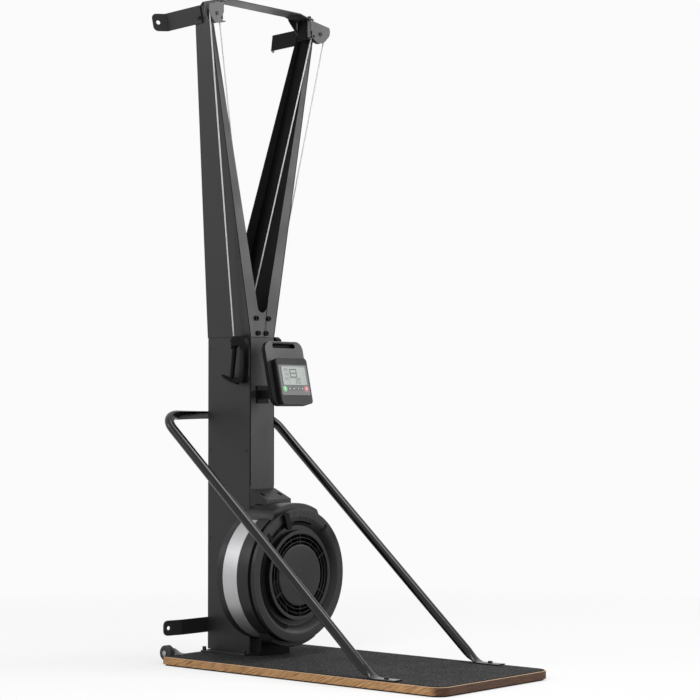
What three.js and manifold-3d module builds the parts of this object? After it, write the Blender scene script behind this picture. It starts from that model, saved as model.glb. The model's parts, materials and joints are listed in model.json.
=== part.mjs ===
// A ski trainer: a column with two spread arms on a wooden board, a fan flywheel in front of the
// column, two handles on cords over swivelling pulleys, and a small display unit.
// Millimetres. +X is the user's right, the user faces +Y, +Z is up, and the floor is z = 0.

import * as THREE from 'three';
import { mergeVertices } from 'three/addons/utils/BufferGeometryUtils.js';
import Module from 'manifold-3d';

const wasm = await Module();
wasm.setup();

// Clearances and counts that many pieces share
const fit = 0.3;
const overrun = 5;
const arcSteps = 6;
const smallSides = 12;
const rodSides = 24;
const drumSides = 48;

// Board, its underlay and its mat
const boardWidth = 570;
const boardLength = 1190;
const boardThickness = 25;
const boardCorner = 50;
const boardRearCorner = 10;
const underlayThickness = 5;
const underlayInset = 8;
const matThickness = 2;
const matInset = 5;
const boardHalf = boardWidth / 2;
const boardRear = boardLength / 2;
const boardBottom = underlayThickness;
const boardTop = boardBottom + boardThickness;
const matTop = boardTop + matThickness;

// Column, its foot plate and its side covers
const columnWidth = 121;
const columnSetback = 191;
const columnDepth = 199;
const columnTop = 1102;
const columnWall = 3.5;
const coverSheet = 1.5;
const coverSeam = 2;
const footPlateWidth = 216;
const footPlateThickness = 5;
const footPlateOverhang = 22;
const spigotHeight = 78;
const spigotOverlap = 60;
const spigotWall = 3;
const spigotDepth = 186;
const columnFront = boardRear - columnSetback;
const spigotBack = columnFront + spigotDepth;
const columnRear = columnFront + columnDepth;
const frameHalf = columnWidth / 2 - coverSheet - fit;
const cavityHalf = frameHalf - columnWall;
const columnBottom = matTop + footPlateThickness;

// Spread arms, folded from sheet
const pulleyHeight = 2171;
const pinX = 219;
const armSheet = 3;
const armTopRise = 32;
const armPinReach = 47.736;
const armRootOverhang = 5;
const armTopDepth = 61;
const armTopFlange = 17;
const notchRise = 85;
const notchRadius = 22.4;
const armSeam = 20;
const webCutDepth = 28;
const webCutHeight = 63;
const armTop = pulleyHeight + armTopRise;
const notchBottom = columnTop + notchRise;
const armBottom = columnTop + fit;
const armSpread = (pinX + armPinReach - frameHalf) / (armTop - columnTop);
const armRootBack = columnRear + armRootOverhang;
const armTopBack = columnFront + armTopDepth;
const armTaper = (armRootBack - armTopBack) / (armTop - columnTop);
const armOuter = (z) => frameHalf + armSpread * (z - columnTop);
const armBack = (z) => armRootBack - armTaper * (z - columnTop);

// Swivel pins and pulley blocks
const pinSetback = 17;
const pinRadius = 3.5;
const pinHeadRadius = 7;
const pinHeadHeight = 6;
const blockTurn = THREE.MathUtils.degToRad(10);
const barrelRadius = 6;
const barrelDrop = 14;
const barrelRise = 41;
const pulleyReach = 41;
const pulleyRadius = 31;
const pulleyWidth = 14;
const pulleyFlange = 3;
const axleRadius = 5;
const axleHeadRadius = 7;
const axleHeadHeight = 2.5;
const cheekSheet = 3;
const cheekRise = 44;
const cheekTip = 50;
const cheekMedial = 36;
const cheekDrop = 32;
const pinY = columnFront - pinSetback;
const barrelBottom = pulleyHeight - barrelDrop;
const barrelTop = pulleyHeight + barrelRise;

// Cords
const cordRadius = 2.3;
const cordSides = 8;
const cordLine = 26.5;
const cordBendRise = 88;
const cordBendLength = 60;
const leftDrumSetback = 42;
const rightDrumSetback = 78;
const drumRadius = 18;
const drumFlangeRadius = 30;
const drumWidth = 32;
const drumFlange = 2;
const cordBendHeight = columnTop + cordBendRise;
const leftDrumY = columnFront + leftDrumSetback;
const rightDrumY = columnFront + rightDrumSetback;
const cordDrop = drumRadius + fit + cordRadius;

// Top bridge and swivel brackets
const bridgeRise = 58;
const bridgeSheet = 4;
const bridgeOverhang = 22;
const bridgeReach = 54;
const bridgeBendInset = 51;
const bridgePadInset = 13;
const bridgePadReach = 15;
const bridgePadDrop = 9;
const gussetSheet = 3;
const gussetInset = 29;
const gussetFootReach = 21;
const gussetRise = 1;
const gussetReach = 35;
const gussetShoulderRise = 29;
const lugSheet = 3;
const lugInset = 12;
const lugOverhang = 26;
const lugReach = 51;
const lowerLugDrop = 18;
const lugNeckOverhang = 9;
const lugSideReach = 5.6;
const sidePlateReach = 13;
const sidePlateSetback = 4;
const bridgeBottom = pulleyHeight + bridgeRise;
const bridgeFront = columnFront - bridgeOverhang;
const bridgeBack = columnFront + bridgeReach;
const bridgeStraight = pinX - bridgeBendInset;
const bridgePadStart = pinX - bridgePadInset;
const bridgePadEnd = pinX + bridgePadReach;
const gussetStart = pinX - gussetInset;
const gussetFoot = pinX + gussetFootReach;
const gussetBottom = pulleyHeight + gussetRise;
const gussetEnd = pinX + gussetReach;
const gussetShoulder = pulleyHeight + gussetShoulderRise;
const lugStart = pinX - lugInset;
const lugFront = columnFront - lugOverhang;
const lugBack = columnFront + lugReach;
const lowerLugTop = pulleyHeight - lowerLugDrop;
const lowerLugNeck = columnFront - lugNeckOverhang;
const lowerLugSide = pinX + lugSideReach;
const sidePlateX = pinX + sidePlateReach;
const sidePlateFront = columnFront + sidePlateSetback;
const padBottom = bridgeBottom - bridgePadDrop;
const lugTop = padBottom - fit;

// Wall brackets
const wallSheet = 5;
const upperStripDrop = 25;
const upperStripRise = 33;
const upperStripSetback = 32;
const upperStripReach = 202;
const upperStripTilt = THREE.MathUtils.degToRad(2.7);
const upperTabLength = 49;
const upperTabTurn = THREE.MathUtils.degToRad(35);
const upperTabCorner = 16;
const lowerStripBottom = 94;
const lowerStripTop = 145;
const lowerStripHalf = 186;
const lowerTabLength = 72;
const lowerTabTurn = THREE.MathUtils.degToRad(12);
const lowerTabCorner = 16;
const wallHoleRadius = 7;
const wallHoleInset = 19;
const upperStripBottom = pulleyHeight - upperStripDrop;
const upperStripTop = pulleyHeight + upperStripRise;
const upperStripFront = columnFront + upperStripSetback;
const upperStripBack = columnFront + upperStripReach;

// Brace tube
const braceRadius = 16;
const braceInset = 21;
const braceLowReach = 143;
const braceLowZ = 67;
const braceTopZ = 838;
const braceBend = 70;
const braceBendSteps = 6;
const braceSides = 16;
const footHalf = 21;
const footSheet = 5;
const footInset = 23;
const footSetback = 182;
const footLength = 88;
const footNeckReach = 113;
const footNeckHalf = 18.5;
const footNeckSheet = 18;
const footNeckZ = 45;
const braceHalf = boardHalf - braceInset;
const footX = boardHalf - footInset;
const footEndY = -boardRear + footSetback;
const footCreaseY = footEndY + footLength;
const footNeckY = footEndY + footNeckReach;
const braceLowY = footEndY + braceLowReach;
const braceTopY = columnRear + fit + braceRadius;

// Flywheel, its housing and its shaft
const housingClearance = 32;
const shellSheet = 3;
const rearShellDepth = 27;
const rearShellProud = 1.5;
const bandDepth = 65;
const bandRadius = 219.5;
const bandSheet = 2;
const ringGap = 5;
const midRingDepth = 49;
const midRingProud = 4.5;
const midRingLipStep = 3.5;
const cowlStep = 2.5;
const cowlThickness = 18;
const cowlGap = 1;
const cowlFrom = THREE.MathUtils.degToRad(57);
const cowlTo = THREE.MathUtils.degToRad(122);
const bellyFrom = THREE.MathUtils.degToRad(236);
const bellyTo = THREE.MathUtils.degToRad(304);
const cowlSteps = 16;
const frontGap = 11;
const frontDepth = 14;
const frontProud = 2.5;
const frontNeckStep = 8.5;
const frontFaceWidth = 52;
const recessDepth = 17;
const recessWidth = 32;
const capOverlap = 12;
const capDepth = 21;
const capSheet = 3;
const slotsWidth = 47;
const slotRings = 3;
const slotSpokes = 4;
const slotRib = 4;
const spokeWidth = 12;
const bearingRadius = 22;
const bearingWidth = 12;
const shaftRadius = 8.5;
const shaftFrontGap = 14;
const hubRadius = 25;
const fanGap = 21.5;
const fanBladeLength = 103;
const fanSheet = 3;
const fanBlades = 16;
const fanBladeSheet = 2;
const fanSetback = 20;
const fanShellGap = 13;
const rearShellRadius = bandRadius + rearShellProud;
const midRingRadius = bandRadius + midRingProud;
const midRingLip = bandRadius - midRingLipStep;
const cowlInner = bandRadius + cowlStep;
const cowlOuter = cowlInner + cowlThickness;
const flyHeight = matTop + housingClearance + cowlOuter;
const housingTop = flyHeight + cowlOuter;
const frontRadius = bandRadius + frontProud;
const frontNeck = bandRadius - frontNeckStep;
const frontFaceInner = frontRadius - frontFaceWidth;
const recessInner = frontFaceInner - recessWidth;
const capRadius = recessInner + capOverlap;
const capDisc = capRadius - slotsWidth;
const fanRadius = bandRadius - fanGap;
const fanInner = fanRadius - fanBladeLength;
const shellBack = columnFront - fit;
const shellFront = columnFront - rearShellDepth;
const bandFront = shellFront - bandDepth;
const midBack = bandFront - ringGap;
const midFront = midBack - midRingDepth;
const frontBack = midFront - frontGap;
const frontFace = frontBack - frontDepth;
const recessFloor = frontFace + recessDepth;
const fanFrontY = midFront + fanSetback;
const fanBackY = shellFront - fanShellGap;

// Damper lever on the front ring
const damperAngle = THREE.MathUtils.degToRad(110);
const damperTravel = THREE.MathUtils.degToRad(40);
const damperReach = 25;
const damperSlot = 6;
const damperStem = 2.5;
const stemReach = 8;
const damperKnobLength = 58;
const damperKnobWidth = 22;
const damperKnobHeight = 12;
const shutterReach = 6;
const shutterInset = 10;
const shutterSpread = THREE.MathUtils.degToRad(26);
const shutterSheet = 2;
const shutterGap = 2;
const damperRadius = frontFaceInner + damperReach;
const stemRadius = frontFaceInner + stemReach;
const shutterInner = frontFaceInner + shutterReach;
const shutterOuter = frontRadius - shutterInset;

// Brackets that carry the housing
const bracketHalf = 61;
const bracketSheet = 3;
const bracketRise = 44;
const bracketLowRise = 8;
const bracketCheekDrop = 6;
const bracketCheekRearDrop = 14;
const bracketLipOverhang = 59;
const bracketLipDepth = 18;
const bracketTab = 30;
const saddleHalf = 70;
const saddleOverhang = 64;
const saddleBackOverhang = 26;
const bracketHigh = housingTop + bracketRise;
const bracketLow = housingTop + bracketLowRise;
const cheekBottom = housingTop - bracketCheekDrop;
const cheekRearBottom = housingTop - bracketCheekRearDrop;
const bracketLip = columnFront - bracketLipOverhang;
const saddleFront = columnFront - saddleOverhang;
const saddleBack = columnFront - saddleBackOverhang;

// Handles and their holder hooks
const handleReach = 23.3;
const handleHalf = 13;
const gripTopSetback = 50;
const gripTopDrop = 18;
const gripFootSetback = 65.5;
const gripFootDrop = 146.2;
const gripTopRadius = 9;
const gripFootRadius = 7.5;
const flangeSetback = 74;
const flangeDrop = 143;
const flangeHalfLength = 43;
const flangeHalfWidth = 17;
const flangeSheet = 6;
const flangeTilt = THREE.MathUtils.degToRad(21);
const handleBevel = 2;
const inletSetback = 56;
const inletRise = 2;
const inletRadius = 6;
const inletDepth = 16;
const hookSheet = 2;
const hookRadius = 2.5;
const hookStandoff = 4.5;
const hookDrop = 10;
const hookFrontSetback = 41;
const hookBackSetback = 85;
const hookReach = 12;
const hookPlateHalf = 13;
const handleOverhang = 5;
const handleRearSetback = 59;
const handleTopRise = 4;
const handleBottomDrop = 156;
const capBottomDrop = 30;
const guardThickness = 9;
const handleX = frameHalf + handleReach;
const gripTopY = columnFront + gripTopSetback;
const gripTopZ = columnTop - gripTopDrop;
const gripFootY = columnFront + gripFootSetback;
const gripFootZ = columnTop - gripFootDrop;
const flangeY = columnFront + flangeSetback;
const flangeZ = columnTop - flangeDrop;
const inletY = columnFront + inletSetback;
const inletZ = columnTop + inletRise;
const hookZ = columnTop - hookDrop;
const hookFront = columnFront + hookFrontSetback;
const hookBack = columnFront + hookBackSetback;
const handleFront = columnFront - handleOverhang;
const handleRear = columnFront + handleRearSetback;
const handleTop = columnTop + handleTopRise;
const handleBottom = columnTop - handleBottomDrop;
const capBottom = columnTop - capBottomDrop;

// Display unit
const shellHalf = 93;
const shellRise = 142;
const shellCorner = 30;
const shellStart = 24;
const shellThickness = 16;
const panelHalf = 75.5;
const panelHeight = 157;
const panelThickness = 5;
const panelCorner = 12;
const panelOverhang = 149;
const panelDrop = 149;
const panelTilt = THREE.MathUtils.degToRad(12.5);
const pivotOverhang = 98;
const pivotDrop = 45;
const pivotRadius = 14;
const earRadius = 12;
const earSheet = 7;
const pivotHalf = 24;
const consolePlateHalf = 30;
const consolePlateSheet = 3;
const lensWidth = 116;
const lensHeight = 65;
const lensSheet = 1.6;
const lensRise = 18;
const buttonDrop = 27;
const buttonPitch = 21;
const buttonCount = 6;
const buttonRadius = 6;
const buttonLength = 5;
const buttonProud = 1.5;
const panelY = columnFront - panelOverhang;
const panelZ = columnTop - panelDrop;
const pivotY = columnFront - pivotOverhang;
const pivotZ = panelZ - pivotDrop;

// Transport wheels and their brackets
const wheelRadius = 26;
const wheelWidth = 24;
const wheelInset = 49;
const wheelSetback = 26;
const wheelZ = 36;
const wheelAxleRadius = 6;
const wheelCapRadius = 9;
const wheelCapSheet = 2;
const wheelEarSheet = 4;
const wheelPlateReach = 36;
const wheelPlateDepth = 33;
const wheelPlateInset = 2;
const wheelPlateSheet = 4;
const wheelEarReach = 13;
const wheelEarRise = 16;
const wheelEarDrop = 14;
const wheelEarGap = 3;
const wheelGap = 1;
const wheelX = boardHalf - wheelInset;
const wheelY = boardRear + wheelSetback;
const wheelPlateStart = wheelX - wheelPlateReach;
const wheelPlateFront = boardRear - wheelPlateDepth;
const wheelPlateBack = boardRear - wheelPlateInset;
const wheelEarBack = wheelY + wheelEarReach;
const wheelEarTop = wheelZ + wheelEarRise;
const wheelEarBottom = wheelZ - wheelEarDrop;
const wheelEarFront = boardRear + wheelEarGap;

// Materials
const paint = (color, roughness, metalness) =>
  new THREE.MeshStandardMaterial({ color, roughness, metalness });
const blackPaint = () => paint(0x3a3b3d, 0.45, 0.3);
const darkPlastic = () => paint(0x17181a, 0.5, 0);
const satinSteel = () => paint(0xb9bbbd, 0.35, 0.8);
const greySteel = () => paint(0x8b8c8e, 0.5, 0.5);
const wood = () => paint(0xb08a5e, 0.6, 0);
const grit = () => paint(0x2d2d2f, 0.95, 0);
const foam = () => paint(0x1b1b1c, 0.9, 0);
const cordGrey = () => paint(0xdcdcda, 0.6, 0);
const lcdGreen = () => paint(0xaebaae, 0.2, 0);
const rubber = () => paint(0x1d1d1f, 0.85, 0);
const panelGrey = () => paint(0x4a4b4d, 0.4, 0);

// Solids: a closed mesh with merged corners can be joined and cut
function corners(geometry) {
  const bare = geometry.clone();
  bare.deleteAttribute('normal');
  bare.deleteAttribute('uv');
  return mergeVertices(bare);
}

function toSolid(geometry) {
  const merged = corners(geometry);
  return new wasm.Manifold(new wasm.Mesh({
    numProp: 3,
    vertProperties: Float32Array.from(merged.attributes.position.array),
    triVerts: Uint32Array.from(merged.index.array),
  }));
}

function toGeometry(solid) {
  const mesh = solid.getMesh();
  const geometry = new THREE.BufferGeometry();
  geometry.setAttribute('position', new THREE.BufferAttribute(mesh.vertProperties, 3));
  geometry.setIndex(new THREE.BufferAttribute(mesh.triVerts, 1));
  geometry.computeVertexNormals();
  return geometry;
}

function join(first, ...others) {
  return toGeometry(others.reduce((solid, other) => solid.add(toSolid(other)), toSolid(first)));
}

function cut(first, ...tools) {
  return toGeometry(tools.reduce((solid, tool) => solid.subtract(toSolid(tool)), toSolid(first)));
}

function overlap(first, second) {
  return toGeometry(toSolid(first).intersect(toSolid(second)));
}

// The same shape on the other side of the machine, its faces turned the right way out again
function mirrored(geometry) {
  const twin = corners(geometry);
  twin.scale(-1, 1, 1);
  const order = twin.index.array;
  for (let i = 0; i < order.length; i += 3) {
    const second = order[i + 1];
    order[i + 1] = order[i + 2];
    order[i + 2] = second;
  }
  twin.computeVertexNormals();
  return twin;
}

const onSide = (side, geometry) => (side > 0 ? geometry : mirrored(geometry));

// Plain shapes
function box(low, high) {
  const size = high.map((value, i) => value - low[i]);
  const geometry = new THREE.BoxGeometry(...size);
  return geometry.translate(...low.map((value, i) => value + size[i] / 2));
}

function rod(axis, radius, from, to, first, second, sides = rodSides) {
  const geometry = new THREE.CylinderGeometry(radius, radius, to - from, sides);
  const middle = (from + to) / 2;
  if (axis === 'x') {
    geometry.rotateZ(Math.PI / 2);
    return geometry.translate(middle, first, second);
  }
  if (axis === 'z') {
    geometry.rotateX(Math.PI / 2);
    return geometry.translate(first, second, middle);
  }
  return geometry.translate(first, middle, second);
}

// A turned ring or disc about the Y axis, from the corners of its half section (radius, y)
function turned(profile, sides = drumSides) {
  const points = profile.map(([radius, y]) => new THREE.Vector2(radius, y));
  if (THREE.ShapeUtils.area(points) < 0) {
    points.reverse();
  }
  points.push(points[0].clone());
  return new THREE.LatheGeometry(points, sides);
}

const outline = (points) => new THREE.Shape(points.map(([a, b]) => new THREE.Vector2(a, b)));

// A rectangle with round corners. The two corners at its far end may have a radius of their own
function roundedRect(width, height, radius, farRadius = radius) {
  const shape = new THREE.Shape();
  const a = width / 2;
  const b = height / 2;
  const quarter = Math.PI / 2;
  shape.absarc(a - radius, radius - b, radius, -quarter, 0);
  shape.absarc(a - farRadius, b - farRadius, farRadius, 0, quarter);
  shape.absarc(farRadius - a, b - farRadius, farRadius, quarter, 2 * quarter);
  shape.absarc(radius - a, radius - b, radius, 2 * quarter, 3 * quarter);
  return shape;
}

function slab(shape, depth) {
  return new THREE.ExtrudeGeometry(shape, { depth, bevelEnabled: false, curveSegments: arcSteps });
}

// Plates with their outline in X and Y, in X and Z, or in Y and Z
const plateXY = (shape, low, high) => slab(shape, high - low).translate(0, 0, low);

function plateXZ(shape, near, far) {
  const geometry = slab(shape, far - near);
  geometry.rotateX(Math.PI / 2);
  return geometry.translate(0, far, 0);
}

function plateYZ(shape, low, high) {
  const geometry = slab(shape, high - low);
  geometry.rotateX(Math.PI / 2);
  geometry.rotateZ(Math.PI / 2);
  return geometry.translate(low, 0, 0);
}

// Leans a shape: each millimetre of height above the pivot moves it by the given steps
function leaned(geometry, stepX, stepY, pivotHeight) {
  geometry.translate(0, 0, -pivotHeight);
  geometry.applyMatrix4(new THREE.Matrix4().makeShear(0, 0, 0, 0, stepX, stepY));
  return geometry.translate(0, 0, pivotHeight);
}

// A round cord or tube along a curve
function along(curve, radius, steps, sides) {
  const points = [];
  for (let i = 0; i < sides; i += 1) {
    const angle = (2 * Math.PI * i) / sides;
    points.push(new THREE.Vector2(radius * Math.cos(angle), radius * Math.sin(angle)));
  }
  return new THREE.ExtrudeGeometry(new THREE.Shape(points), {
    extrudePath: curve,
    steps,
    bevelEnabled: false,
  });
}

// A closed skin through rings of points
function loft(rings) {
  const count = rings[0].length;
  const positions = rings.flat().flatMap((point) => [point.x, point.y, point.z]);
  const index = [];
  for (let ring = 0; ring + 1 < rings.length; ring += 1) {
    for (let i = 0; i < count; i += 1) {
      const a = ring * count + i;
      const b = ring * count + ((i + 1) % count);
      index.push(a, b, a + count, b, b + count, a + count);
    }
  }
  const last = (rings.length - 1) * count;
  for (let i = 1; i + 1 < count; i += 1) {
    index.push(0, i + 1, i);
    index.push(last, last + i, last + i + 1);
  }
  const geometry = new THREE.BufferGeometry();
  geometry.setAttribute('position', new THREE.Float32BufferAttribute(positions, 3));
  geometry.setIndex(index);
  geometry.computeVertexNormals();
  return geometry;
}

const group = new THREE.Group();

function place(name, geometry, material, parent = group) {
  const mesh = new THREE.Mesh(geometry, material);
  mesh.name = name;
  parent.add(mesh);
  return mesh;
}

const sides = [['left', -1], ['right', 1]];

// Board: wide round corners in front, where the user steps on, and close ones at the rear
const boardShape = (inset) => roundedRect(
  boardWidth - 2 * inset,
  boardLength - 2 * inset,
  boardCorner - inset,
  boardRearCorner - inset,
);

function addBoard() {
  place('base_underlay', plateXY(boardShape(underlayInset), 0, boardBottom), foam());
  place('base_board', plateXY(boardShape(0), boardBottom, boardTop), wood());
  place('base_mat', plateXY(boardShape(matInset), boardTop, matTop), grit());
}

// Column: a welded box post with a sleeve at its head that the arms fit over
function columnFrame() {
  const post = box([-frameHalf, columnFront, columnBottom], [frameHalf, columnRear, columnTop]);
  const spigot = box(
    [-cavityHalf, columnFront + columnWall, columnTop - overrun],
    [cavityHalf, spigotBack, columnTop + spigotHeight],
  );
  const cavity = box(
    [-cavityHalf, columnFront + columnWall, columnBottom - overrun],
    [cavityHalf, columnRear - columnWall, columnTop - spigotOverlap],
  );
  const throat = box(
    [-cavityHalf + spigotWall, columnFront + columnWall + spigotWall, columnTop - spigotOverlap - overrun],
    [cavityHalf - spigotWall, spigotBack - spigotWall, columnTop + spigotHeight + overrun],
  );
  const bore = rod(
    'y', bearingRadius + fit, columnFront - overrun, columnFront + columnWall + overrun,
    0, flyHeight,
  );
  return cut(join(post, spigot), cavity, throat, bore);
}

function addColumn() {
  const plateFront = columnFront - footPlateOverhang;
  const plateBack = boardLength / 2 - matInset;
  place(
    'column_foot_plate',
    box([-footPlateWidth / 2, plateFront, matTop], [footPlateWidth / 2, plateBack, columnBottom]),
    blackPaint(),
  );
  place('column_frame', columnFrame(), blackPaint());
  const cover = box(
    [frameHalf + fit, columnFront + coverSeam, columnBottom],
    [columnWidth / 2, columnRear, columnTop],
  );
  for (const [name, side] of sides) {
    place(`${name}_side_cover`, onSide(side, cover), blackPaint());
  }
}

// Arms: the front and back flanges share one outline with a rounded notch between the arms
function flangeOutline() {
  const top = new THREE.Vector2(armOuter(armTop) - armTopFlange, armTop);
  const reach = armTopFlange + fit;
  const centre = notchCentre(top);
  const toTop = top.clone().sub(centre);
  const start = toTop.angle() - Math.acos(notchRadius / toTop.length());
  const shape = new THREE.Shape();
  shape.moveTo(-armOuter(armBottom), armBottom);
  shape.lineTo(armOuter(armBottom), armBottom);
  shape.lineTo(top.x + reach - fit, armTop);
  shape.lineTo(top.x, armTop);
  shape.absarc(centre.x, centre.y, notchRadius, start, -Math.PI - start, true);
  shape.lineTo(-top.x, armTop);
  shape.lineTo(-armOuter(armTop), armTop);
  return shape;
}

const notchCentre = () => new THREE.Vector2(0, notchBottom + notchRadius);

function arm(side) {
  const front = plateXZ(flangeOutline(), columnFront, columnFront + armSheet);
  const back = leaned(
    plateXZ(flangeOutline(), armRootBack - armSheet, armRootBack),
    0,
    -armTaper,
    columnTop,
  );
  const gap = (side * fit) / 2;
  const far = side * boardWidth;
  const edges = [armSeam + gap, far].sort((a, b) => a - b);
  const half = box(
    [edges[0], columnFront - overrun, armBottom - overrun],
    [edges[1], armRootBack + overrun, armTop + overrun],
  );
  const webOutline = outline([
    [columnFront, armBottom],
    [armBack(armBottom), armBottom],
    [armBack(armTop), armTop],
    [columnFront + webCutDepth, armTop],
    [columnFront, armTop - webCutHeight],
  ]);
  const web = leaned(plateYZ(webOutline, frameHalf - armSheet, frameHalf), armSpread, 0, columnTop);
  return join(onSide(side, web), overlap(front, half), overlap(back, half));
}

// Top bridge: one sheet from arm to arm, bent down to a pad at each end, with a gusset behind
function bridgeStrip() {
  const drop = (x, z) => [[x, z], [x, z + bridgeSheet]];
  const [lowMid, highMid] = drop(bridgeStraight, bridgeBottom);
  const [lowPad, highPad] = drop(bridgePadStart, padBottom);
  const [lowEnd, highEnd] = drop(bridgePadEnd, padBottom);
  const right = [lowMid, lowPad, lowEnd, highEnd, highPad, highMid];
  const left = right.map(([x, z]) => [-x, z]).reverse();
  return plateXZ(outline([...right, ...left]), bridgeFront, bridgeBack);
}

function gusset(side) {
  const shape = outline([
    [gussetStart, bridgeBottom],
    [gussetStart, padBottom],
    [gussetFoot, gussetBottom],
    [gussetEnd, gussetBottom],
    [gussetEnd, gussetShoulder],
    [bridgePadEnd, padBottom + bridgeSheet],
    [bridgePadStart, padBottom + bridgeSheet],
  ]);
  return onSide(side, plateXZ(shape, bridgeBack, bridgeBack + gussetSheet));
}

function topBridge() {
  const hole = (side) => rod(
    'z', pinRadius + fit, padBottom - overrun, bridgeBottom,
    side * pinX, pinY, smallSides,
  );
  return cut(join(bridgeStrip(), gusset(-1), gusset(1)), hole(-1), hole(1));
}

function swivelBracket() {
  const top = box([lugStart, lugFront, lugTop - lugSheet], [sidePlateX + lugSheet, lugBack, lugTop]);
  const plate = box(
    [sidePlateX, sidePlateFront, lowerLugTop - lugSheet],
    [sidePlateX + lugSheet, lugBack, lugTop],
  );
  const lowerShape = outline([
    [lugStart, lugFront],
    [lowerLugSide, lugFront],
    [lowerLugSide, lowerLugNeck],
    [sidePlateX + lugSheet, sidePlateFront],
    [sidePlateX + lugSheet, lugBack],
    [lugStart + barrelRadius, sidePlateFront],
    [lugStart, lowerLugNeck],
  ]);
  const lower = plateXY(lowerShape, lowerLugTop - lugSheet, lowerLugTop);
  const hole = rod(
    'z', pinRadius + fit, lowerLugTop - lugSheet - overrun, lugTop + overrun,
    pinX, pinY, smallSides,
  );
  return cut(join(top, plate, lower), hole);
}

function swivelPin() {
  const seat = padBottom + bridgeSheet + fit;
  const shank = rod('z', pinRadius, lowerLugTop - lugSheet, seat + fit, pinX, pinY, smallSides);
  const head = rod('z', pinHeadRadius, seat, seat + pinHeadHeight, pinX, pinY, smallSides / 2);
  return join(shank, head);
}

// Pulley block in its own frame: the pin stands at the origin and the cheeks reach out along +X
const cheekFace = pulleyWidth / 2 + 2 * fit;

function cheekOutline() {
  const medial = pulleyReach - cheekMedial;
  const shape = new THREE.Shape();
  shape.moveTo(medial, barrelBottom);
  shape.lineTo(pulleyReach - cheekMedial / 2, pulleyHeight - cheekDrop + cheekSheet);
  shape.absarc(pulleyReach, pulleyHeight, cheekDrop, -2 * Math.PI / 3, -Math.PI / 6);
  shape.quadraticCurveTo(
    pulleyReach + cheekTip,
    pulleyHeight,
    pulleyReach + cheekTip * cheekShoulderShares[0],
    pulleyHeight + cheekRise * cheekShoulderShares[1],
  );
  shape.lineTo(medial, pulleyHeight + cheekRise - fit);
  return shape;
}

const cheekShoulderShares = [0.8, 0.6];

function pulleyBlock() {
  const shape = cheekOutline();
  const frontCheek = plateXZ(shape, -cheekFace - cheekSheet, -cheekFace);
  const backCheek = plateXZ(shape, cheekFace, cheekFace + cheekSheet);
  const barrel = rod('z', barrelRadius, barrelBottom, barrelTop, 0, 0, smallSides);
  const web = box(
    [0, -cheekFace - cheekSheet, barrelBottom + cheekRise / 2],
    [barrelRadius - fit, cheekFace + cheekSheet, barrelTop],
  );
  const pinHole = rod('z', pinRadius + fit, barrelBottom - overrun, barrelTop + overrun, 0, 0, smallSides);
  const reach = cheekFace + cheekSheet + overrun;
  const axleHole = rod('y', axleRadius + fit, -reach, reach, pulleyReach, pulleyHeight, smallSides);
  return cut(join(frontCheek, backCheek, barrel, web), pinHole, axleHole);
}

function pulleyWheel() {
  const half = pulleyWidth / 2;
  const floor = cordLine - cordRadius - 2 * fit;
  const groove = half - pulleyFlange;
  const profile = [
    [axleRadius + 2 * fit, -half],
    [pulleyRadius, -half],
    [pulleyRadius, -groove],
    [floor, -groove + fit],
    [floor, groove - fit],
    [pulleyRadius, groove],
    [pulleyRadius, half],
    [axleRadius + 2 * fit, half],
  ];
  return turned(profile, rodSides).translate(pulleyReach, 0, pulleyHeight);
}

function pulleyAxle() {
  const reach = cheekFace + cheekSheet + fit;
  const shank = rod('y', axleRadius, -reach - fit, reach + fit, pulleyReach, pulleyHeight, smallSides);
  const headSides = smallSides / 2;
  const headAt = (from, to) => rod('y', axleHeadRadius, from, to, pulleyReach, pulleyHeight, headSides);
  return join(shank, headAt(-reach - axleHeadHeight, -reach), headAt(reach, reach + axleHeadHeight));
}

function addPulleys() {
  for (const [name, side] of sides) {
    place(`${name}_swivel_bracket`, onSide(side, swivelBracket()), blackPaint());
    place(`${name}_swivel_pin`, onSide(side, swivelPin()), blackPaint());
    const block = new THREE.Group();
    block.position.set(side * pinX, pinY, 0);
    block.rotation.z = -side * blockTurn;
    group.add(block);
    place(`${name}_pulley_block`, onSide(side, pulleyBlock()), greySteel(), block);
    place(`${name}_pulley_wheel`, onSide(side, pulleyWheel()), darkPlastic(), block);
    place(`${name}_pulley_axle`, onSide(side, pulleyAxle()), blackPaint(), block);
  }
}

// Cords: over each pulley, down inside the arm and the column to its drum, and out to the handle
function pulleyFrame(side) {
  const outward = new THREE.Vector3(side * Math.cos(blockTurn), -Math.sin(blockTurn), 0);
  const centre = new THREE.Vector3(side * pinX, pinY, pulleyHeight).addScaledVector(outward, pulleyReach);
  const onWheel = (angle) => centre.clone()
    .addScaledVector(outward, cordLine * Math.cos(angle))
    .add(new THREE.Vector3(0, 0, cordLine * Math.sin(angle)));
  return { outward, centre, onWheel };
}

// The wheel's angle, measured from the outer side, at which a line to a point below leaves the rim
function leaveAngle(frame, target, towardOuter) {
  const offset = target.clone().sub(frame.centre);
  const flat = new THREE.Vector2(offset.dot(frame.outward), offset.z);
  const swing = Math.acos(cordLine / flat.length());
  return towardOuter ? flat.angle() - 2 * Math.PI + swing : flat.angle() - swing;
}

const handleInlet = (side) => new THREE.Vector3(side * handleX, inletY, inletZ);
const columnEntry = (side, drumY) => new THREE.Vector3(side * cordDrop, drumY, cordBendHeight);

function handleCord(side) {
  const frame = pulleyFrame(side);
  const low = handleInlet(side);
  const high = frame.onWheel(leaveAngle(frame, low, true));
  const direction = high.clone().sub(low).normalize();
  low.addScaledVector(direction, cordRadius / 2);
  high.addScaledVector(direction, -fit);
  return along(new THREE.LineCurve3(low, high), cordRadius, 1, cordSides);
}

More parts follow.
